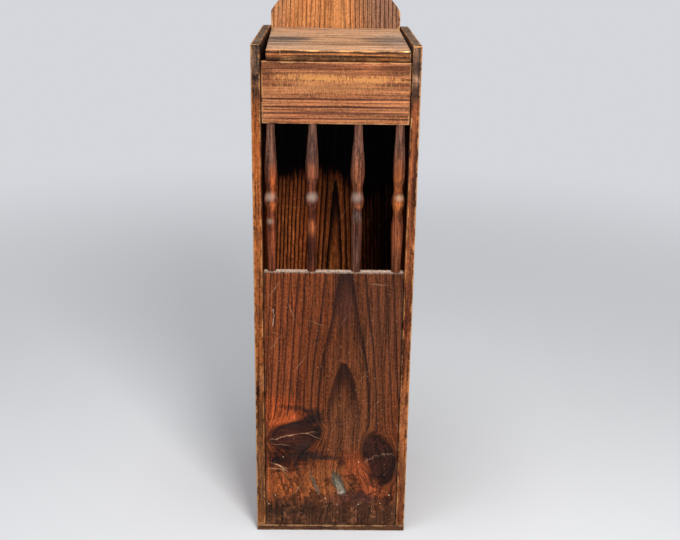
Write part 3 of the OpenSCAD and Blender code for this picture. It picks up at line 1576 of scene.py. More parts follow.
@dataclass(frozen=True)
class PhotographCamera:
    """The camera, at the photograph's place and angle."""

    place: tuple[float, float, float] = (-7.6, -1306.5, 784.8)
    yaw: float = 0.0129
    pitch: float = 0.3314
    roll: float = 0.0142
    lens: float = 53.57
    sensor: float = 36.0

    def build(self) -> None:
        """Makes the camera, which looks towards the back of the box and down by its pitch."""
        data = bpy.data.cameras.new("photograph_camera")
        data.lens = self.lens
        data.sensor_width = self.sensor
        camera = bpy.data.objects.new("photograph_camera", data)
        bpy.context.scene.collection.objects.link(camera)
        turn = Matrix.Rotation(-self.yaw, 4, "Z") @ Matrix.Rotation(math.pi / 2 - self.pitch, 4, "X")
        turn = turn @ Matrix.Rotation(self.roll, 4, "Z")
        camera.matrix_world = Matrix.Translation(Vector(self.place) * MM) @ turn
        bpy.context.scene.camera = camera


@dataclass(frozen=True)
class SoftLight:
    """A square soft light that faces the box. Azimuth 0 is in front of the box, and 90 is at its right."""

    name: str
    azimuth: float
    elevation: float
    distance: float
    size: float
    power: float
    colour: Colour
    target: tuple[float, float, float] = (0.0, 0.0, 0.42)

    def build(self) -> None:
        """Makes the light."""
        around, above = math.radians(self.azimuth), math.radians(self.elevation)
        level = math.cos(above)
        back = Vector((math.sin(around) * level, -math.cos(around) * level, math.sin(above)))
        data = bpy.data.lights.new(self.name, "AREA")
        data.size = self.size
        data.energy = self.power
        data.color = self.colour
        light = bpy.data.objects.new(self.name, data)
        bpy.context.scene.collection.objects.link(light)
        light.location = Vector(self.target) + back * self.distance
        light.rotation_mode = "QUATERNION"
        light.rotation_quaternion = (-back).to_track_quat("-Z", "Y")


@dataclass(frozen=True)
class Studio:
    """The plain floor, the surrounding light and the lamps."""

    floor_size: float = 60.0
    floor_colour: Colour = srgb(214, 216, 220)
    floor_roughness: float = 0.9
    far_colour: Colour = srgb(212, 214, 219)
    fade: Span = (350.0, 2200.0)
    around_colour: Colour = (0.93, 0.96, 1.0)
    around_strength: float = 0.3
    lights: tuple[SoftLight, ...] = (
        SoftLight("key_light", 18.0, 34.0, 1.7, 0.5, 26.0, (1.0, 0.97, 0.93)),
        SoftLight("top_light", -10.0, 78.0, 1.9, 0.9, 22.0, (1.0, 0.99, 0.97)),
        SoftLight("left_fill", -60.0, 25.0, 2.2, 1.2, 6.0, (0.94, 0.97, 1.0)),
    )

    def build(self) -> None:
        """Makes the floor, the world and the lamps."""
        Bench.clear()
        bpy.ops.mesh.primitive_plane_add(size=self.floor_size)
        floor = bpy.context.object
        floor.name = "floor"
        floor.data.materials.append(self._floor_material())
        self._world()
        for light in self.lights:
            light.build()
        bpy.context.scene.view_settings.view_transform = "Standard"

    def _floor_material(self) -> bpy.types.Material:
        """Makes the plain pale floor, which runs out into an even pale background.

        Returns:
            The material.
        """
        paint = Paint("pale_floor")
        sheet = paint.sheet
        paint.set(Base_Color=self.floor_colour, Roughness=self.floor_roughness)
        seen = sheet.read("LightPath", "Is Camera Ray")
        for name in ("Is Glossy Ray", "Is Transmission Ray"):
            seen = seen.high(sheet.read("LightPath", name))
        x, y, _ = sheet.parts(paint.place())
        share = (x * x + y * y).root().step(*self.fade) * seen
        near, far = Signal(sheet, paint.shader.outputs[0]), sheet.add("Emission", self.far_colour)
        surface = sheet.tree.nodes["Material Output"].inputs["Surface"]
        sheet.feed(surface, sheet.add("MixShader", share, near, far))
        return paint.material

    def _world(self) -> None:
        """Lights the scene evenly from all around, before the same pale background."""
        world = bpy.data.worlds.new("studio")
        world.use_nodes = True
        sheet = NodeSheet(world.node_tree)
        around = world.node_tree.nodes["Background"]
        sheet.feed(around.inputs["Color"], self.around_colour)
        sheet.feed(around.inputs["Strength"], self.around_strength)
        seen, behind = sheet.read("LightPath", "Is Camera Ray"), sheet.add("Background", self.far_colour)
        shown = sheet.add("MixShader", seen, Signal(sheet, around.outputs[0]), behind)
        sheet.feed(world.node_tree.nodes["World Output"].inputs[0], shown)
        bpy.context.scene.world = world


# Faces and reaches that patches use, in millimetres, and painted shades that several boards share, for the
# inside of the box where little light reaches.
EVERYWHERE = 4000.0
SIDE_FACE = 88.0
SIDE_OUTSIDE = 100.0
INNER_FRONT = -103.9
BACK_FACE = 106.1
SIDE_FRONT = -116.0
EDGE_HALF = 20.0
FRONT_FACE = -115.9
LID_FRONT = -118.0
SHADE_INSIDE = (0.34, 0.23, 0.16)
DEEP_SHADE = (0.3, 0.28, 0.26)


def cover(middle: Span, half: Span, levels: Levels, strength: float, **more: object) -> Patch:
    """Makes a patch of another colour, given as seen on a screen."""
    return Patch(middle, half, srgb(*levels), strength, **more)


def stain_and_shade(middle: Span, half: Span, factors: Colour, strength: float, **more: object) -> Patch:
    """Makes a patch that multiplies the colour under it, for real stains and for painted shade and light
    alike.
    """
    return Patch(middle, half, factors, strength, blend=Blend.STAIN, **more)


def inner(face: float, reach: float, **more: object) -> Patch:
    """Paints shade on a board's inner face, within a reach of it, where the closed box's inside gets little
    light.
    """
    span = (EVERYWHERE, EVERYWHERE)
    return stain_and_shade((0, 0), span, SHADE_INSIDE, 1, face=face, reach=reach, **more)


def edge(along: float, half: float) -> tuple[Span, Span]:
    """Gives the spot of a patch on a side board's front edge."""
    return (SIDE_FRONT, along), (EDGE_HALF, half)


def band(middle: float, half: float) -> tuple[Span, Span]:
    """Gives the spot of a band all across an upright board."""
    return (0, middle), (EVERYWHERE, half)


def arris(across: float, half: float) -> tuple[Span, Span]:
    """Gives the spot of a band all along the lid's front."""
    return (across, 0), (half, EVERYWHERE)


def shared_by_sides(face: float) -> tuple[Patch, ...]:
    """Makes the worn top that both side boards have, and the painted shade on their inner faces.

    Args:
        face: The inner face's X.

    Returns:
        The patches.
    """
    # Painted shade for the inner face, laid last.
    dark = partial(stain_and_shade, factors=DEEP_SHADE, strength=1, face=face, reach=0.8, layer=Layer.LAST)
    return (
        under(*band(652, 5), (164, 134, 106), 0.9),
        stain_and_shade(*band(653, 6), (0.4, 0.4, 0.42), 0.75, ragged=6, scale=0.07, streaky=1),
        # Painted shade on the inner face: darker all over, more so in the upper part, darkest just under the
        # lid.
        inner(face, 0.6, layer=Layer.LAST),
        dark(*band(540, 100), edge=0.4, ragged=0.5),
        dark(*band(638, 11.5), edge=0.1, ragged=0.2),
    )


# Kinds of patch that come up often.
under = partial(cover, layer=Layer.UNDER)
smudge = partial(cover, streaky=1)
stroke = partial(cover, edge=0.3, ragged=5, layer=Layer.LAST)
# Patches on the back's inner face: most are painted shade, and one is painted light.
inside_back = partial(stain_and_shade, face=BACK_FACE, reach=1)
dark_back = partial(inside_back, layer=Layer.LAST)
vein = partial(cover, edge=0.6, ragged=1.2, streaky=0.8)
crack = partial(smudge, edge=0.7)
# Painted warm light on the spindles: small spots, and softer longer streaks.
painted_warm_light_spot = partial(cover, edge=0.8, ragged=1.2, scale=0.2)
painted_warm_light = partial(cover, edge=0.9, ragged=1.2, scale=0.15)
shade_edge = partial(stain_and_shade, strength=0.9, edge=0.7)
# Painted highlights on the spindles' bulbs, laid over everything.
painted_highlight = partial(cover, edge=0.9, scale=0.25, layer=Layer.LAST)


class Finishes:
    """The finishes of the box's pieces. Their patches lie where the box is worn, stained or scratched, and
    where light or shade is painted on it.
    """

    panel = WoodFinish(
        name="front_panel_pine",
        way=GrainWay.UP_FACING_FRONT,
        early=srgb(145, 76, 39),
        late=srgb(48, 25, 19),
        warm=srgb(158, 74, 33),
        bare=srgb(190, 152, 120),
        rings=RingLayout(
            pith=15, crown=14, bend=7.6, curve=0.06, period=141, shift=32, wander=3, fray=0.05,
            sharp=0.56, thin=0.6, face=FRONT_FACE, flare=0.3, flare_top=330, uneven=0.35,
        ),
        contrast=1,
        streaks=0.38,
        hairs=0.62,
        grit=0.6,
        tone=0.83,
        wear_strength=0.1,
        grime=0.7,
        scratches=0.3,
        specks=0.14,
        heart=srgb(68, 33, 24),
        seed=2,
        knots=(
            Knot((-49, 143), (34, 20), turn=0.2, arch=0.1, point=0.5, crack=0.6),
            Knot((63, 111), (21, 35), turn=0.3, arch=0.1, crack=0.3),
            Knot((7, 165), (3, 7), crack=0.1),
            Knot((-70, 106), (9, 5), turn=0.4, crack=0.4),
            Knot((-30, 66), (11, 30), turn=0.5, shown=0),
            Knot((30, 66), (12, 26), turn=0.6, shown=0),
            Knot((-66, 56), (9, 22), turn=0.4, shown=0),
            Knot((62, 48), (14, 9), turn=-0.3, shown=0),
        ),
        patches=(
            under((-72, 270), (34, 130), (160, 80, 41), 0.6, edge=0.6),
            under((34, 230), (42, 120), (126, 70, 38), 0.85, edge=0.6),
            under((66, 326), (36, 70), (116, 64, 38), 0.85, edge=0.6),
            under((14, 352), (14, 62), (82, 43, 31), 0.85, edge=0.4),
            under((-72, 178), (28, 22), (206, 94, 42), 0.9),
            under((34, 98), (22, 24), (206, 100, 50), 0.85),
            stain_and_shade((15.5, 240), (18, 22), (0.5, 0.48, 0.46), 0.75, edge=0.7, on_lines=1),
            stain_and_shade((15.5, 210), (30, 60), (0.6, 0.56, 0.54), 0.8, edge=0.7, on_lines=1),
            stain_and_shade((15, 278), (17, 24), (0.66, 0.62, 0.62), 0.9, edge=0.7),
            stain_and_shade((-28, 250), (22, 70), (0.8, 0.76, 0.72), 0.9, edge=0.7),
            cover((16, 150), (24, 34), (104, 62, 38), 0.45, edge=0.7, ragged=1.2),
            stain_and_shade((-49, 143), (30, 17), (0.72, 0.66, 0.58), 0.9, edge=0.4),
            smudge((-29, 171), (18, 10), (20, 13, 12), 0.9, ragged=2.2),
            cover((-60, 167), (24, 5), (188, 88, 42), 0.65, turn=0.3, edge=0.6, on_lines=0.3),
            smudge((-48, 184), (20, 3), (26, 16, 14), 0.65, turn=-0.1, ragged=2.2),
            smudge((-40, 161), (24, 3.5), (22, 14, 13), 0.55, turn=0.16, ragged=1.4),
            smudge((-18, 154), (5, 14), (20, 13, 12), 0.8, ragged=1.6),
            cover((-60, 68), (34, 24), (196, 104, 50), 0.7, edge=0.7, ragged=1, on_lines=0.3),
            cover((-8, 74), (36, 26), (194, 112, 60), 0.7, edge=0.6, ragged=1, on_lines=0.3),
            stain_and_shade(
                (0, 80), (120, 34), (0.2, 0.18, 0.18), 0.45, edge=0.4, ragged=6.5, scale=0.11, streaky=0.35
            ),
            cover((36, 92), (15, 17), (158, 76, 40), 0.6, turn=0.5, ragged=1.2, on_lines=0.4),
            cover((54, 62), (20, 8), (160, 78, 42), 0.6, turn=-0.3, ragged=1.6),
            stain_and_shade((-66, 110), (26, 14), (0.56, 0.5, 0.5), 0.85, edge=0.6, ragged=1.4, streaky=0.7),
            stain_and_shade((-60, 108), (30, 16), (0.3, 0.28, 0.28), 0.6, edge=0.3, ragged=5, scale=0.2, streaky=0.8),
            smudge((-30, 114), (26, 7), (30, 20, 18), 0.8, ragged=1.8),
            smudge((-38, 124), (9, 12), (34, 22, 19), 0.7, turn=-0.5, ragged=1.8),
            smudge((-2, 111), (22, 3), (40, 26, 22), 0.7, ragged=1.4),
            cover((-44, 92), (3, 22), (36, 24, 20), 0.6, turn=0.35, ragged=1.6, streaky=0.6),
            cover((-58, 80), (1.3, 20), (44, 28, 22), 0.6, turn=0.5, ragged=1.2, streaky=0.6),
            cover((-66, 74), (1.3, 18), (44, 28, 22), 0.6, turn=0.3, ragged=1.2, streaky=0.6),
            crack((-70, 99), (0.7, 10), (196, 150, 112), 0.7, turn=1.2),
            crack((-66, 96), (0.7, 9), (196, 150, 112), 0.6, turn=0.9),
            crack((-74, 94), (0.7, 9), (186, 140, 104), 0.6, turn=1.5),
            crack((-64, 91), (0.6, 9), (186, 140, 104), 0.5, turn=0.6),
            vein((48, 88), (1.2, 16), (40, 24, 20), 0.7, turn=0.7),
            vein((40, 84), (0.9, 14), (52, 28, 22), 0.6, turn=0.6),
            vein((58, 68), (1.2, 12), (36, 22, 19), 0.7, turn=1.2),
            vein((52, 56), (1.2, 14), (40, 24, 20), 0.7, turn=-1.1),
            cover((0, 14), (130, 30), (112, 71, 47), 0.8, ragged=1.8, scale=0.07, streaky=0.7),
            stain_and_shade((0, 24), (130, 34), (0.2, 0.2, 0.2), 0.75, edge=0.4, ragged=7.5, scale=0.1, streaky=0.8),
            cover((28, 50), (28, 8), (72, 40, 32), 0.7, ragged=1.8, streaky=0.8),
            stain_and_shade((-76, 30), (11, 20), (0.4, 0.44, 0.44), 0.8, ragged=1.8),
            stain_and_shade((-34, 32), (14, 10), (0.45, 0.45, 0.45), 0.7, ragged=2),
            smudge((9, 75), (6.5, 17), (70, 66, 56), 0.85, turn=0.42, scale=0.25, edge=0.25, ragged=1.8),
            cover((10.5, 68), (4.5, 12), (140, 136, 120), 0.6, turn=0.42, scale=0.5, ragged=3, streaky=0.8),
            smudge((14, 59), (5, 2.4), (166, 158, 142), 0.6, turn=0.3, scale=0.4, ragged=1.8),
            cover(
                (-22, 71), (2.2, 17), (100, 92, 78), 0.7,
                turn=0.35, scale=0.3, edge=0.4, ragged=2.4, streaky=0.6,
            ),
            *(
                smudge(spot, (0.7, 0.8), (214, 192, 164), 0.75, edge=0.4, ragged=1, scale=0.5)
                for spot in (
                    (-75, 54), (-84, 40), (-53, 67), (-45, 65), (-8, 49), (8, 40), (37, 40), (66, 42),
                    (78, 55), (-64, 112), (36, 105),
                )
            ),
            cover((-75.5, 318), (0.5, 5), (190, 172, 158), 0.7, turn=0.15, ragged=1.4, scale=0.5),
            cover((-76, 305), (0.5, 5.5), (190, 172, 158), 0.6, turn=-0.15, ragged=1.4, scale=0.5),
            # Pale dust on the panel's top face, made paler still as painted light where the header shades it.
            smudge(*band(374, 3), (196, 170, 152), 0.9, ragged=0.4, scale=0.3),
            # Painted shade on the panel's inner face.
            inner(INNER_FRONT, 0.5, layer=Layer.LAST),
        ),
    )
    header = WoodFinish(
        name="header_pine",
        way=GrainWay.ACROSS_FACING_FRONT,
        early=srgb(186, 120, 78),
        late=srgb(86, 46, 36),
        warm=srgb(178, 102, 62),
        bare=srgb(214, 156, 102),
        rings=RingLayout(
            pith=200, bend=240, curve=0, period=2000, wander=5, sharp=0.5, thin=0.6, face=FRONT_FACE
        ),
        contrast=0.5,
        hairs=0.55,
        grit=0.45,
        tone=1.12,
        wear_strength=0.5,
        scratches=0.25,
        seed=5,
        patches=(
            stain_and_shade((625, -40), (4, 70), (0.4, 0.32, 0.32), 0.85, ragged=1.2, streaky=0.1),
            stain_and_shade((625, 78), (4.5, 30), (0.4, 0.34, 0.34), 0.9, ragged=1.2, streaky=0.1),
            stain_and_shade((604.5, -68), (2.6, 30), (0.36, 0.3, 0.32), 0.85, streaky=0.1),
            stain_and_shade((604.5, 72), (2.8, 26), (0.36, 0.3, 0.32), 0.85, streaky=0.1),
            stain_and_shade((612, -84), (10, 10), (0.55, 0.5, 0.5), 0.8),
            cover((587.3, 0), (1.2, 140), (64, 32, 26), 0.9, streaky=0.05),
            cover((578.1, 0), (1.4, 140), (60, 30, 25), 0.95, streaky=0.05),
            cover((570.6, -8), (1.8, 120), (66, 34, 27), 0.85, ragged=0.9, streaky=0.05),
            cover((564, 0), (1, 140), (66, 34, 27), 0.85, streaky=0.05),
            stain_and_shade((606, 0), (12, 80), (0.8, 0.78, 0.76), 0.9, edge=0.8),
            stroke((612, -24), (3.2, 36), (218, 152, 84), 0.55, scale=0.15, streaky=5),
            stroke((610.5, 40), (3.2, 28), (218, 152, 86), 0.55, scale=0.17, streaky=4),
            stroke((601, -6), (7, 60), (212, 152, 96), 0.26, ragged=6.5, scale=0.13, streaky=6, edge=0.25),
            stain_and_shade((572, 0), (15, 130), (1.16, 1.18, 1.16), 0.9),
            # Painted shade on the header's inner face.
            inner(INNER_FRONT, 0.5, layer=Layer.LAST),
        ),
    )
    side_left = WoodFinish(
        name="left_side_pine",
        way=GrainWay.UP_FACING_SIDE,
        early=srgb(182, 102, 50),
        late=srgb(80, 42, 26),
        warm=srgb(168, 88, 38),
        bare=srgb(206, 146, 92),
        rings=RingLayout(pith=60, crown=24, curve=0.1, period=120, wander=10, face=-SIDE_OUTSIDE),
        wear_width=1.8,
        wear_strength=0.65,
        hairs=0.6,
        grit=0.6,
        tone=1.02,
        seed=9,
        patches=(
            under((SIDE_FRONT, 645), (40, 50), (164, 128, 102), 0.85),
            stain_and_shade(*edge(612, 3), (0.16, 0.15, 0.15), 0.85, ragged=1.8, scale=0.25, streaky=1),
            stain_and_shade(*edge(593, 8), (0.3, 0.28, 0.28), 0.7, ragged=2.4, scale=0.16),
            cover(*edge(634, 12), (160, 126, 98), 0.4, face=-SIDE_OUTSIDE, reach=4, wave=5, ragged=1.6),
            stain_and_shade(*edge(246, 1.6), (0.2, 0.18, 0.16), 0.8, face=-SIDE_FACE, reach=7),
            cover(
                *edge(226, 18), (176, 112, 66), 0.55,
                face=-SIDE_FACE, reach=6.5, wave=3, ragged=1.2, scale=0.1,
            ),
            stain_and_shade(*edge(206, 7), (0.24, 0.2, 0.2), 0.8, face=-97, reach=2.5, wave=3, ragged=1.8, scale=0.2),
            stain_and_shade(*edge(168, 20), (0.4, 0.42, 0.42), 0.7, ragged=2.6, scale=0.16, streaky=0.5),
            cover(*edge(110, 50), (124, 82, 50), 0.5, ragged=3, scale=0.18, streaky=0.5),
            stain_and_shade(*edge(630, 26), (0.25, 0.25, 0.27), 0.8, ragged=3.5, scale=0.16, streaky=0.6),
            stain_and_shade(*edge(575, 22), (0.4, 0.38, 0.36), 0.6, ragged=3, streaky=0.6),
            stain_and_shade(*edge(300, 60), (0.5, 0.46, 0.42), 0.5, ragged=5, scale=0.1, streaky=0.4),
            stain_and_shade((SIDE_FRONT, 200), (30, 130), (0.76, 0.78, 0.8), 0.9),
            shade_edge(*edge(292, 40), (1.4, 1.36, 1.3)),
            shade_edge(*edge(218, 26), (0.76, 0.74, 0.76)),
            # Darker and cooler towards the bottom of the front edge.
            stain_and_shade((SIDE_FRONT, 20), (40, 60), (0.5, 0.64, 0.86), 0.9),
            *shared_by_sides(-SIDE_FACE),
        ),
    )
    side_right = replace(
        side_left,
        name="right_side_pine",
        early=srgb(160, 88, 50),
        warm=srgb(150, 78, 40),
        seed=31,
        patches=(
            under((SIDE_FRONT, 640), (40, 45), (172, 134, 108), 0.85),
            stain_and_shade(*edge(612, 40), (0.4, 0.4, 0.42), 0.5, ragged=4.5, scale=0.16, streaky=0.6),
            stain_and_shade(*edge(624, 7), (0.25, 0.25, 0.27), 0.85, ragged=2, scale=0.16),
            smudge(*edge(611, 3), (180, 136, 104), 0.3, ragged=2, scale=0.2),
            stain_and_shade(*edge(596, 9), (0.2, 0.2, 0.22), 0.85, ragged=2, scale=0.16),
            stain_and_shade(
                *edge(509, 44), (0.2, 0.19, 0.2), 0.85,
                edge=0.3, scale=0.1, face=SIDE_OUTSIDE, reach=4.2, wave=4,
            ),
            stain_and_shade(*edge(440, 40), (0.5, 0.46, 0.44), 0.6, ragged=3, scale=0.1, streaky=0.4),
            cover(*edge(236, 20), (190, 112, 56), 0.5, ragged=1.8, scale=0.1, face=97, reach=3, wave=4),
            cover(*edge(150, 60), (170, 102, 56), 0.4, ragged=3, streaky=0.4),
            stain_and_shade(*edge(196, 9), (0.2, 0.18, 0.18), 0.85, ragged=1.6, scale=0.16, face=99, reach=3, wave=3),
            stain_and_shade(*edge(146, 6), (0.2, 0.18, 0.18), 0.85, ragged=1.6, scale=0.16, face=99, reach=2.5, wave=3),
            shade_edge(*edge(470, 16), (0.76, 0.72, 0.68)),
            shade_edge(*edge(400, 26), (1.6, 1.64, 1.6)),
            shade_edge(*edge(306, 22), (0.74, 0.58, 0.54)),
            shade_edge(*edge(136, 20), (1.56, 1.6, 1.5)),
            stain_and_shade(*edge(330, 30), (0.4, 0.36, 0.36), 0.8),
            stain_and_shade(*edge(250, 24), (0.4, 0.36, 0.36), 0.8),
            # Darker towards the bottom of the front edge.
            stain_and_shade((SIDE_FRONT, 70), (40, 90), (0.62, 0.6, 0.62), 0.9),
            *shared_by_sides(SIDE_FACE),
        ),
    )
    back = WoodFinish(
        name="back_pine",
        way=GrainWay.UP_FACING_FRONT,
        early=srgb(211, 145, 89),
        late=srgb(92, 50, 32),
        warm=srgb(202, 118, 62),
        bare=srgb(220, 164, 112),
        rings=RingLayout(
            pith=2, crown=15, bend=32, curve=0, period=170, shift=73, wander=5, fray=0.16,
            sharp=0.55, thin=0.62, face=BACK_FACE, late_gain=0.22, late_top=645, uneven=0.45,
        ),
        contrast=1,
        streaks=0.3,
        hairs=0.5,
        grit=0.45,
        tone=1.02,
        seed=13,
        patches=(
            under((72, 690), (40, 90), (142, 104, 85), 0.85, edge=0.7),
            stain_and_shade((64, 690), (44, 60), (0.4, 0.4, 0.42), 0.85, edge=0.6, on_lines=1),
            under((-80, 690), (16, 90), (200, 136, 92), 0.7, edge=0.7),
            # Painted shade over the back's whole inner face; the next patch darkens its late wood further.
            inside_back(*band(320, 325), (0.8, 0.52, 0.38), 1, edge=0.02, ragged=0.02),
            inside_back(*band(320, 325), (0.04, 0.03, 0.03), 1, edge=0.02, ragged=0.02, on_lines=1),
            # Painted light: brighter mottled patches where the lamp reaches the inside back, with darker
            # patches among them.
            dark_back((-20, 400), (90, 90), (0.3, 0.27, 0.25), 0.5, edge=0.4, ragged=6, scale=0.3),
            dark_back(
                (-20, 400), (80, 80), (1.9, 1.8, 1.7), 0.6, edge=0.3, ragged=5.5, scale=0.42, streaky=0.4
            ),
            # Painted shadow cast on the inside back by the header, the lid and the right side: near black at
            # the top, with a ragged lower edge.
            dark_back(*band(606, 36), (0.1, 0.09, 0.08), 1, edge=0.06, ragged=0.05),
            dark_back(*band(520, 80), (0.02, 0.02, 0.02), 1, edge=0.12, ragged=0.9, scale=0.14, streaky=0.1),
            dark_back((52, 470), (40, 72), (0.06, 0.05, 0.05), 1, edge=0.25, ragged=0.9, streaky=0.1),
            dark_back((95, 360), (44, 110), (0.2, 0.2, 0.22), 0.97, edge=0.6, ragged=1.6, streaky=0.08),
            dark_back((-8, 400), (6, 60), DEEP_SHADE, 0.4, edge=0.6, ragged=1.8, scale=0.14, streaky=0.1),
        ),
    )
    lid = WoodFinish(
        name="lid_pine",
        way=GrainWay.ACROSS_FACING_UP,
        early=srgb(206, 160, 124),
        late=srgb(128, 94, 74),
        warm=srgb(202, 146, 104),
        bare=srgb(222, 166, 112),
        rings=RingLayout(pith=-20, crown=24, bend=30, curve=0.1, period=300, wander=12, face=645),
        contrast=0.75,
        hairs=0.75,
        grit=0.45,
        tone=1.36,
        wear_width=1.8,
        wear_strength=0.4,
        seed=17,
        patches=(
            under((-30, -68), (50, 30), (158, 136, 120), 0.7, edge=0.7),
            under((-20, 78), (60, 30), (164, 140, 122), 0.7, edge=0.7),
            stain_and_shade((-14, -62), (16, 32), (0.26, 0.29, 0.36), 0.9, ragged=1.6, scale=0.1, streaky=0.35),
            stain_and_shade((-20, 62), (16, 32), (0.38, 0.4, 0.44), 0.85, ragged=1.6, scale=0.1, streaky=0.35),
            stain_and_shade((-4, 42), (3, 12), (0.4, 0.36, 0.36), 0.8, ragged=1.2),
            stain_and_shade((-60, 20), (14, 44), (0.6, 0.55, 0.52), 0.7, ragged=2.2, scale=0.1),
            stain_and_shade(*arris(-119, 4.2), (0.42, 0.31, 0.22), 1, edge=0.12, ragged=0.1),
            stain_and_shade((LID_FRONT, -58), (5, 50), (0.66, 0.48, 0.36), 0.85, edge=0.6, face=636, reach=5),
            stain_and_shade((LID_FRONT, 46), (5, 50), (1.36, 1.16, 0.82), 0.9, edge=0.6, face=636, reach=5),
            smudge(
                *arris(LID_FRONT, 4), (40, 25, 18), 0.9,
                edge=0.3, ragged=0.2, scale=0.03, face=641.2, reach=0.4, wave=5,
            ),
            smudge(
                (LID_FRONT, 10), (4, 60), (44, 28, 20), 0.85,
                ragged=0.6, scale=0.04, face=637.2, reach=0.3, wave=4,
            ),
            smudge(
                (LID_FRONT, -30), (4, 50), (166, 116, 72), 0.7,
                ragged=0.6, scale=0.05, face=635, reach=0.3, wave=4,
            ),
            smudge(
                *arris(LID_FRONT, 4), (156, 98, 56), 0.6,
                ragged=0.6, scale=0.04, face=639.2, reach=0.1, wave=4,
            ),
            smudge(
                *arris(FRONT_FACE, 2.6), (206, 146, 90), 0.85,
                edge=0.3, ragged=0.7, scale=0.045, face=645.8, reach=1.6, wave=7,
            ),
            smudge(
                (-116, 20), (3, 26), (208, 148, 94), 0.8, edge=0.3, scale=0.08, face=644.6, reach=1.6, wave=3
            ),
            smudge(
                (-117, 83), (4, 5), (240, 204, 142), 0.9,
                edge=0.25, ragged=0.9, scale=0.3, face=645, reach=1.6, wave=2,
            ),
            # Painted shade along the lid's lower front edge, in the crease over the header.
            stain_and_shade(
                *arris(-117, 5), (0.34, 0.27, 0.22), 0.9,
                edge=0.2, face=630.8, reach=1.6, wave=2, layer=Layer.LAST,
            ),
            # Painted shade on the lid's underside.
            inner(632, 0.6),
        ),
    )
    base = WoodFinish(
        name="base_pine",
        way=GrainWay.ACROSS_FACING_UP,
        early=srgb(112, 72, 48),
        late=srgb(60, 38, 28),
        warm=srgb(104, 62, 38),
        bare=srgb(170, 126, 90),
        rings=RingLayout(pith=10, crown=24, bend=30, curve=0.1, period=300, wander=10),
        wear_strength=0.6,
        seed=21,
    )
    spindle = WoodFinish(
        name="spindle_wood",
        way=GrainWay.UP_FACING_FRONT,
        early=srgb(132, 70, 44),
        late=srgb(34, 18, 14),
        warm=srgb(140, 66, 34),
        bare=srgb(160, 120, 96),
        rings=RingLayout(
            pith=-160, crown=24, curve=0.1, period=140, wander=8, sharp=0.5, thin=0.55, face=-118, uneven=0.3
        ),
        contrast=0.9,
        hairs=0.62,
        streaks=0.5,
        grit=0.4,
        wear_strength=0,
        grime=0,
        roughness=0.38,
        polish=0.1,
        tone=0.87,
        seed=25,
        patches=(
            # Greyish tops: dust, and a painted sheen as well.
            cover(*band(540, 38), (122, 96, 84), 0.35, edge=0.8, ragged=1.6, scale=0.2, streaky=0.1),
            # Painted highlights on the tops of the bulbs, and one below spindle 1's bulb.
            painted_highlight((-79, 468), (5.6, 4.2), (178, 156, 138), 0.42, ragged=1),
            painted_highlight((-79, 437), (4, 3), (160, 136, 120), 0.5, ragged=0.9),
            painted_highlight((-28, 468.5), (5.6, 4.6), (182, 164, 152), 0.42, ragged=0.9),
            painted_highlight((27, 468.5), (5.8, 5), (172, 154, 142), 0.42, ragged=0.9),
            painted_highlight((79, 468), (4.4, 3.4), (196, 168, 142), 0.48, ragged=1),
            # On spindle 2: painted warm light, a painted bluish shade at the top, a darker lower part and
            # painted shade under the bulb.
            painted_warm_light_spot((-27.5, 429), (6, 8), (158, 88, 50), 0.6),
            stain_and_shade((-29, 530), (8, 26), (0.5, 0.58, 0.68), 0.8, edge=0.8),
            painted_warm_light_spot((-28, 500), (5, 10), (150, 84, 56), 0.5),
            stain_and_shade((-30, 400), (5.5, 26), (0.22, 0.2, 0.2), 0.85, edge=0.7),
            stain_and_shade((-27, 447), (6, 7), (0.4, 0.38, 0.38), 0.8, edge=0.8),
            cover((27, 400), (8, 36), (84, 58, 48), 0.65, edge=0.8, ragged=1.2, scale=0.15),
            cover((27, 444), (7, 7), (96, 84, 80), 0.55, edge=0.8, ragged=1, scale=0.15),
            # Painted shade down the left side of spindle 1's lower part.
            stain_and_shade((-82, 400), (3, 36), (0.4, 0.36, 0.36), 0.8, edge=0.7),
            # Painted warm light on the swellings and under the bulbs of spindles 1, 4 and 3.
            painted_warm_light((-75, 487), (3.5, 14), (170, 84, 44), 0.7, scale=0.2),
            painted_warm_light_spot((-75, 456), (5, 6), (172, 88, 42), 0.6, ragged=1),
            painted_warm_light((-76, 405), (5, 26), (146, 72, 42), 0.5),
            painted_warm_light((77.5, 486), (6, 26), (160, 88, 44), 0.55, ragged=1.4),
            painted_warm_light_spot((77.5, 457), (7, 6), (176, 98, 46), 0.6, ragged=1),
            painted_warm_light((77.5, 410), (6, 30), (146, 82, 48), 0.5, ragged=1.4),
            painted_warm_light((27.5, 496), (7, 18), (150, 88, 58), 0.55),
            painted_warm_light_spot((28.5, 457), (5, 4), (168, 100, 62), 0.5, ragged=1),
        ),
    )


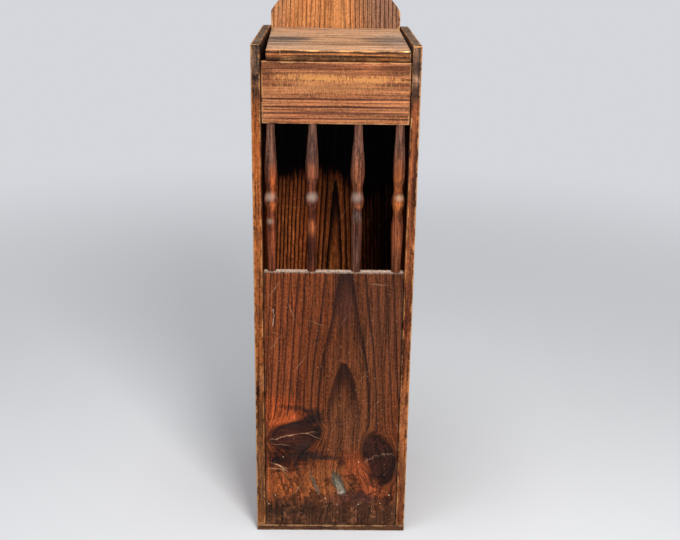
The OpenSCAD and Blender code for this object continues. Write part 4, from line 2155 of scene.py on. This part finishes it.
class BreadBox:
    """The whole box."""

    side_nails = ("header_nails", "panel_nails", "back_nails", "pivot_pin")

    def __init__(self) -> None:
        """Lists the pieces."""
        self.effects = WoodEffects()
        left, right = (tuple(f"{side}_{nails}" for nails in self.side_nails) for side in ("left", "right"))
        self.nail_nodes = (*left, *right, "base_nails")
        side_cuts, fitted = (3, 36, 120), (0.35, 0.0, 0.0)
        turned = (
            TurnedShape(9.8, 15.4, 11.6, 18.0, 10.5, 13.4, 10.5),
            TurnedShape(9.8, 16.8, 11.0, 18.0, 10.5, 13.4, 10.5),
            TurnedShape(9.8, 17.0, 12.8, 17.5, 11.7, 14.0, 11.2),
            TurnedShape(10.5, 14.9, 11.0, 16.2, 11.2, 15.2, 11.8),
        )
        self.pieces: list[Board | Spindle] = [
            SideBoard("left_side", "side_wood", Finishes.side_left, cuts=side_cuts, outward=-1.0, nails=left),
            SideBoard("right_side", "side_wood", Finishes.side_right, cuts=side_cuts, nails=right),
            BackBoard("back_board", "back_wood", Finishes.back, cuts=(44, 3, 110)),
            Board("base_board", "base_wood", Finishes.base, cuts=(50, 40, 2)),
            Board("front_panel", "panel_wood", Finishes.panel, cuts=(44, 3, 80), shy=fitted),
            Board("header_board", "header_wood", Finishes.header, cuts=(50, 3, 20), shy=fitted),
            Lid("lid", "lid_wood", Finishes.lid, body=LID, cuts=(56, 50, 3), ease=1.8, erosion=2.0),
            *(
                Spindle(f"spindle_{number}", "spindle_wood", Finishes.spindle, shape)
                for number, shape in enumerate(turned, start=1)
            ),
        ]

    def build(self) -> None:
        """Builds every piece in order."""
        for piece in self.pieces:
            piece.build(self.effects)
        iron = IronFinish().dress()
        for name in self.nail_nodes:
            node = frame["nodes"][name]
            node.data.materials.clear()
            node.data.materials.append(iron)
            LOG.info("%s: aged iron", name)


def main() -> None:
    """Builds the camera, the studio and the box."""
    logging.basicConfig(level=logging.INFO, format="%(message)s")
    PhotographCamera().build()
    Studio().build()
    BreadBox().build()


if __name__ == "__main__":
    main()
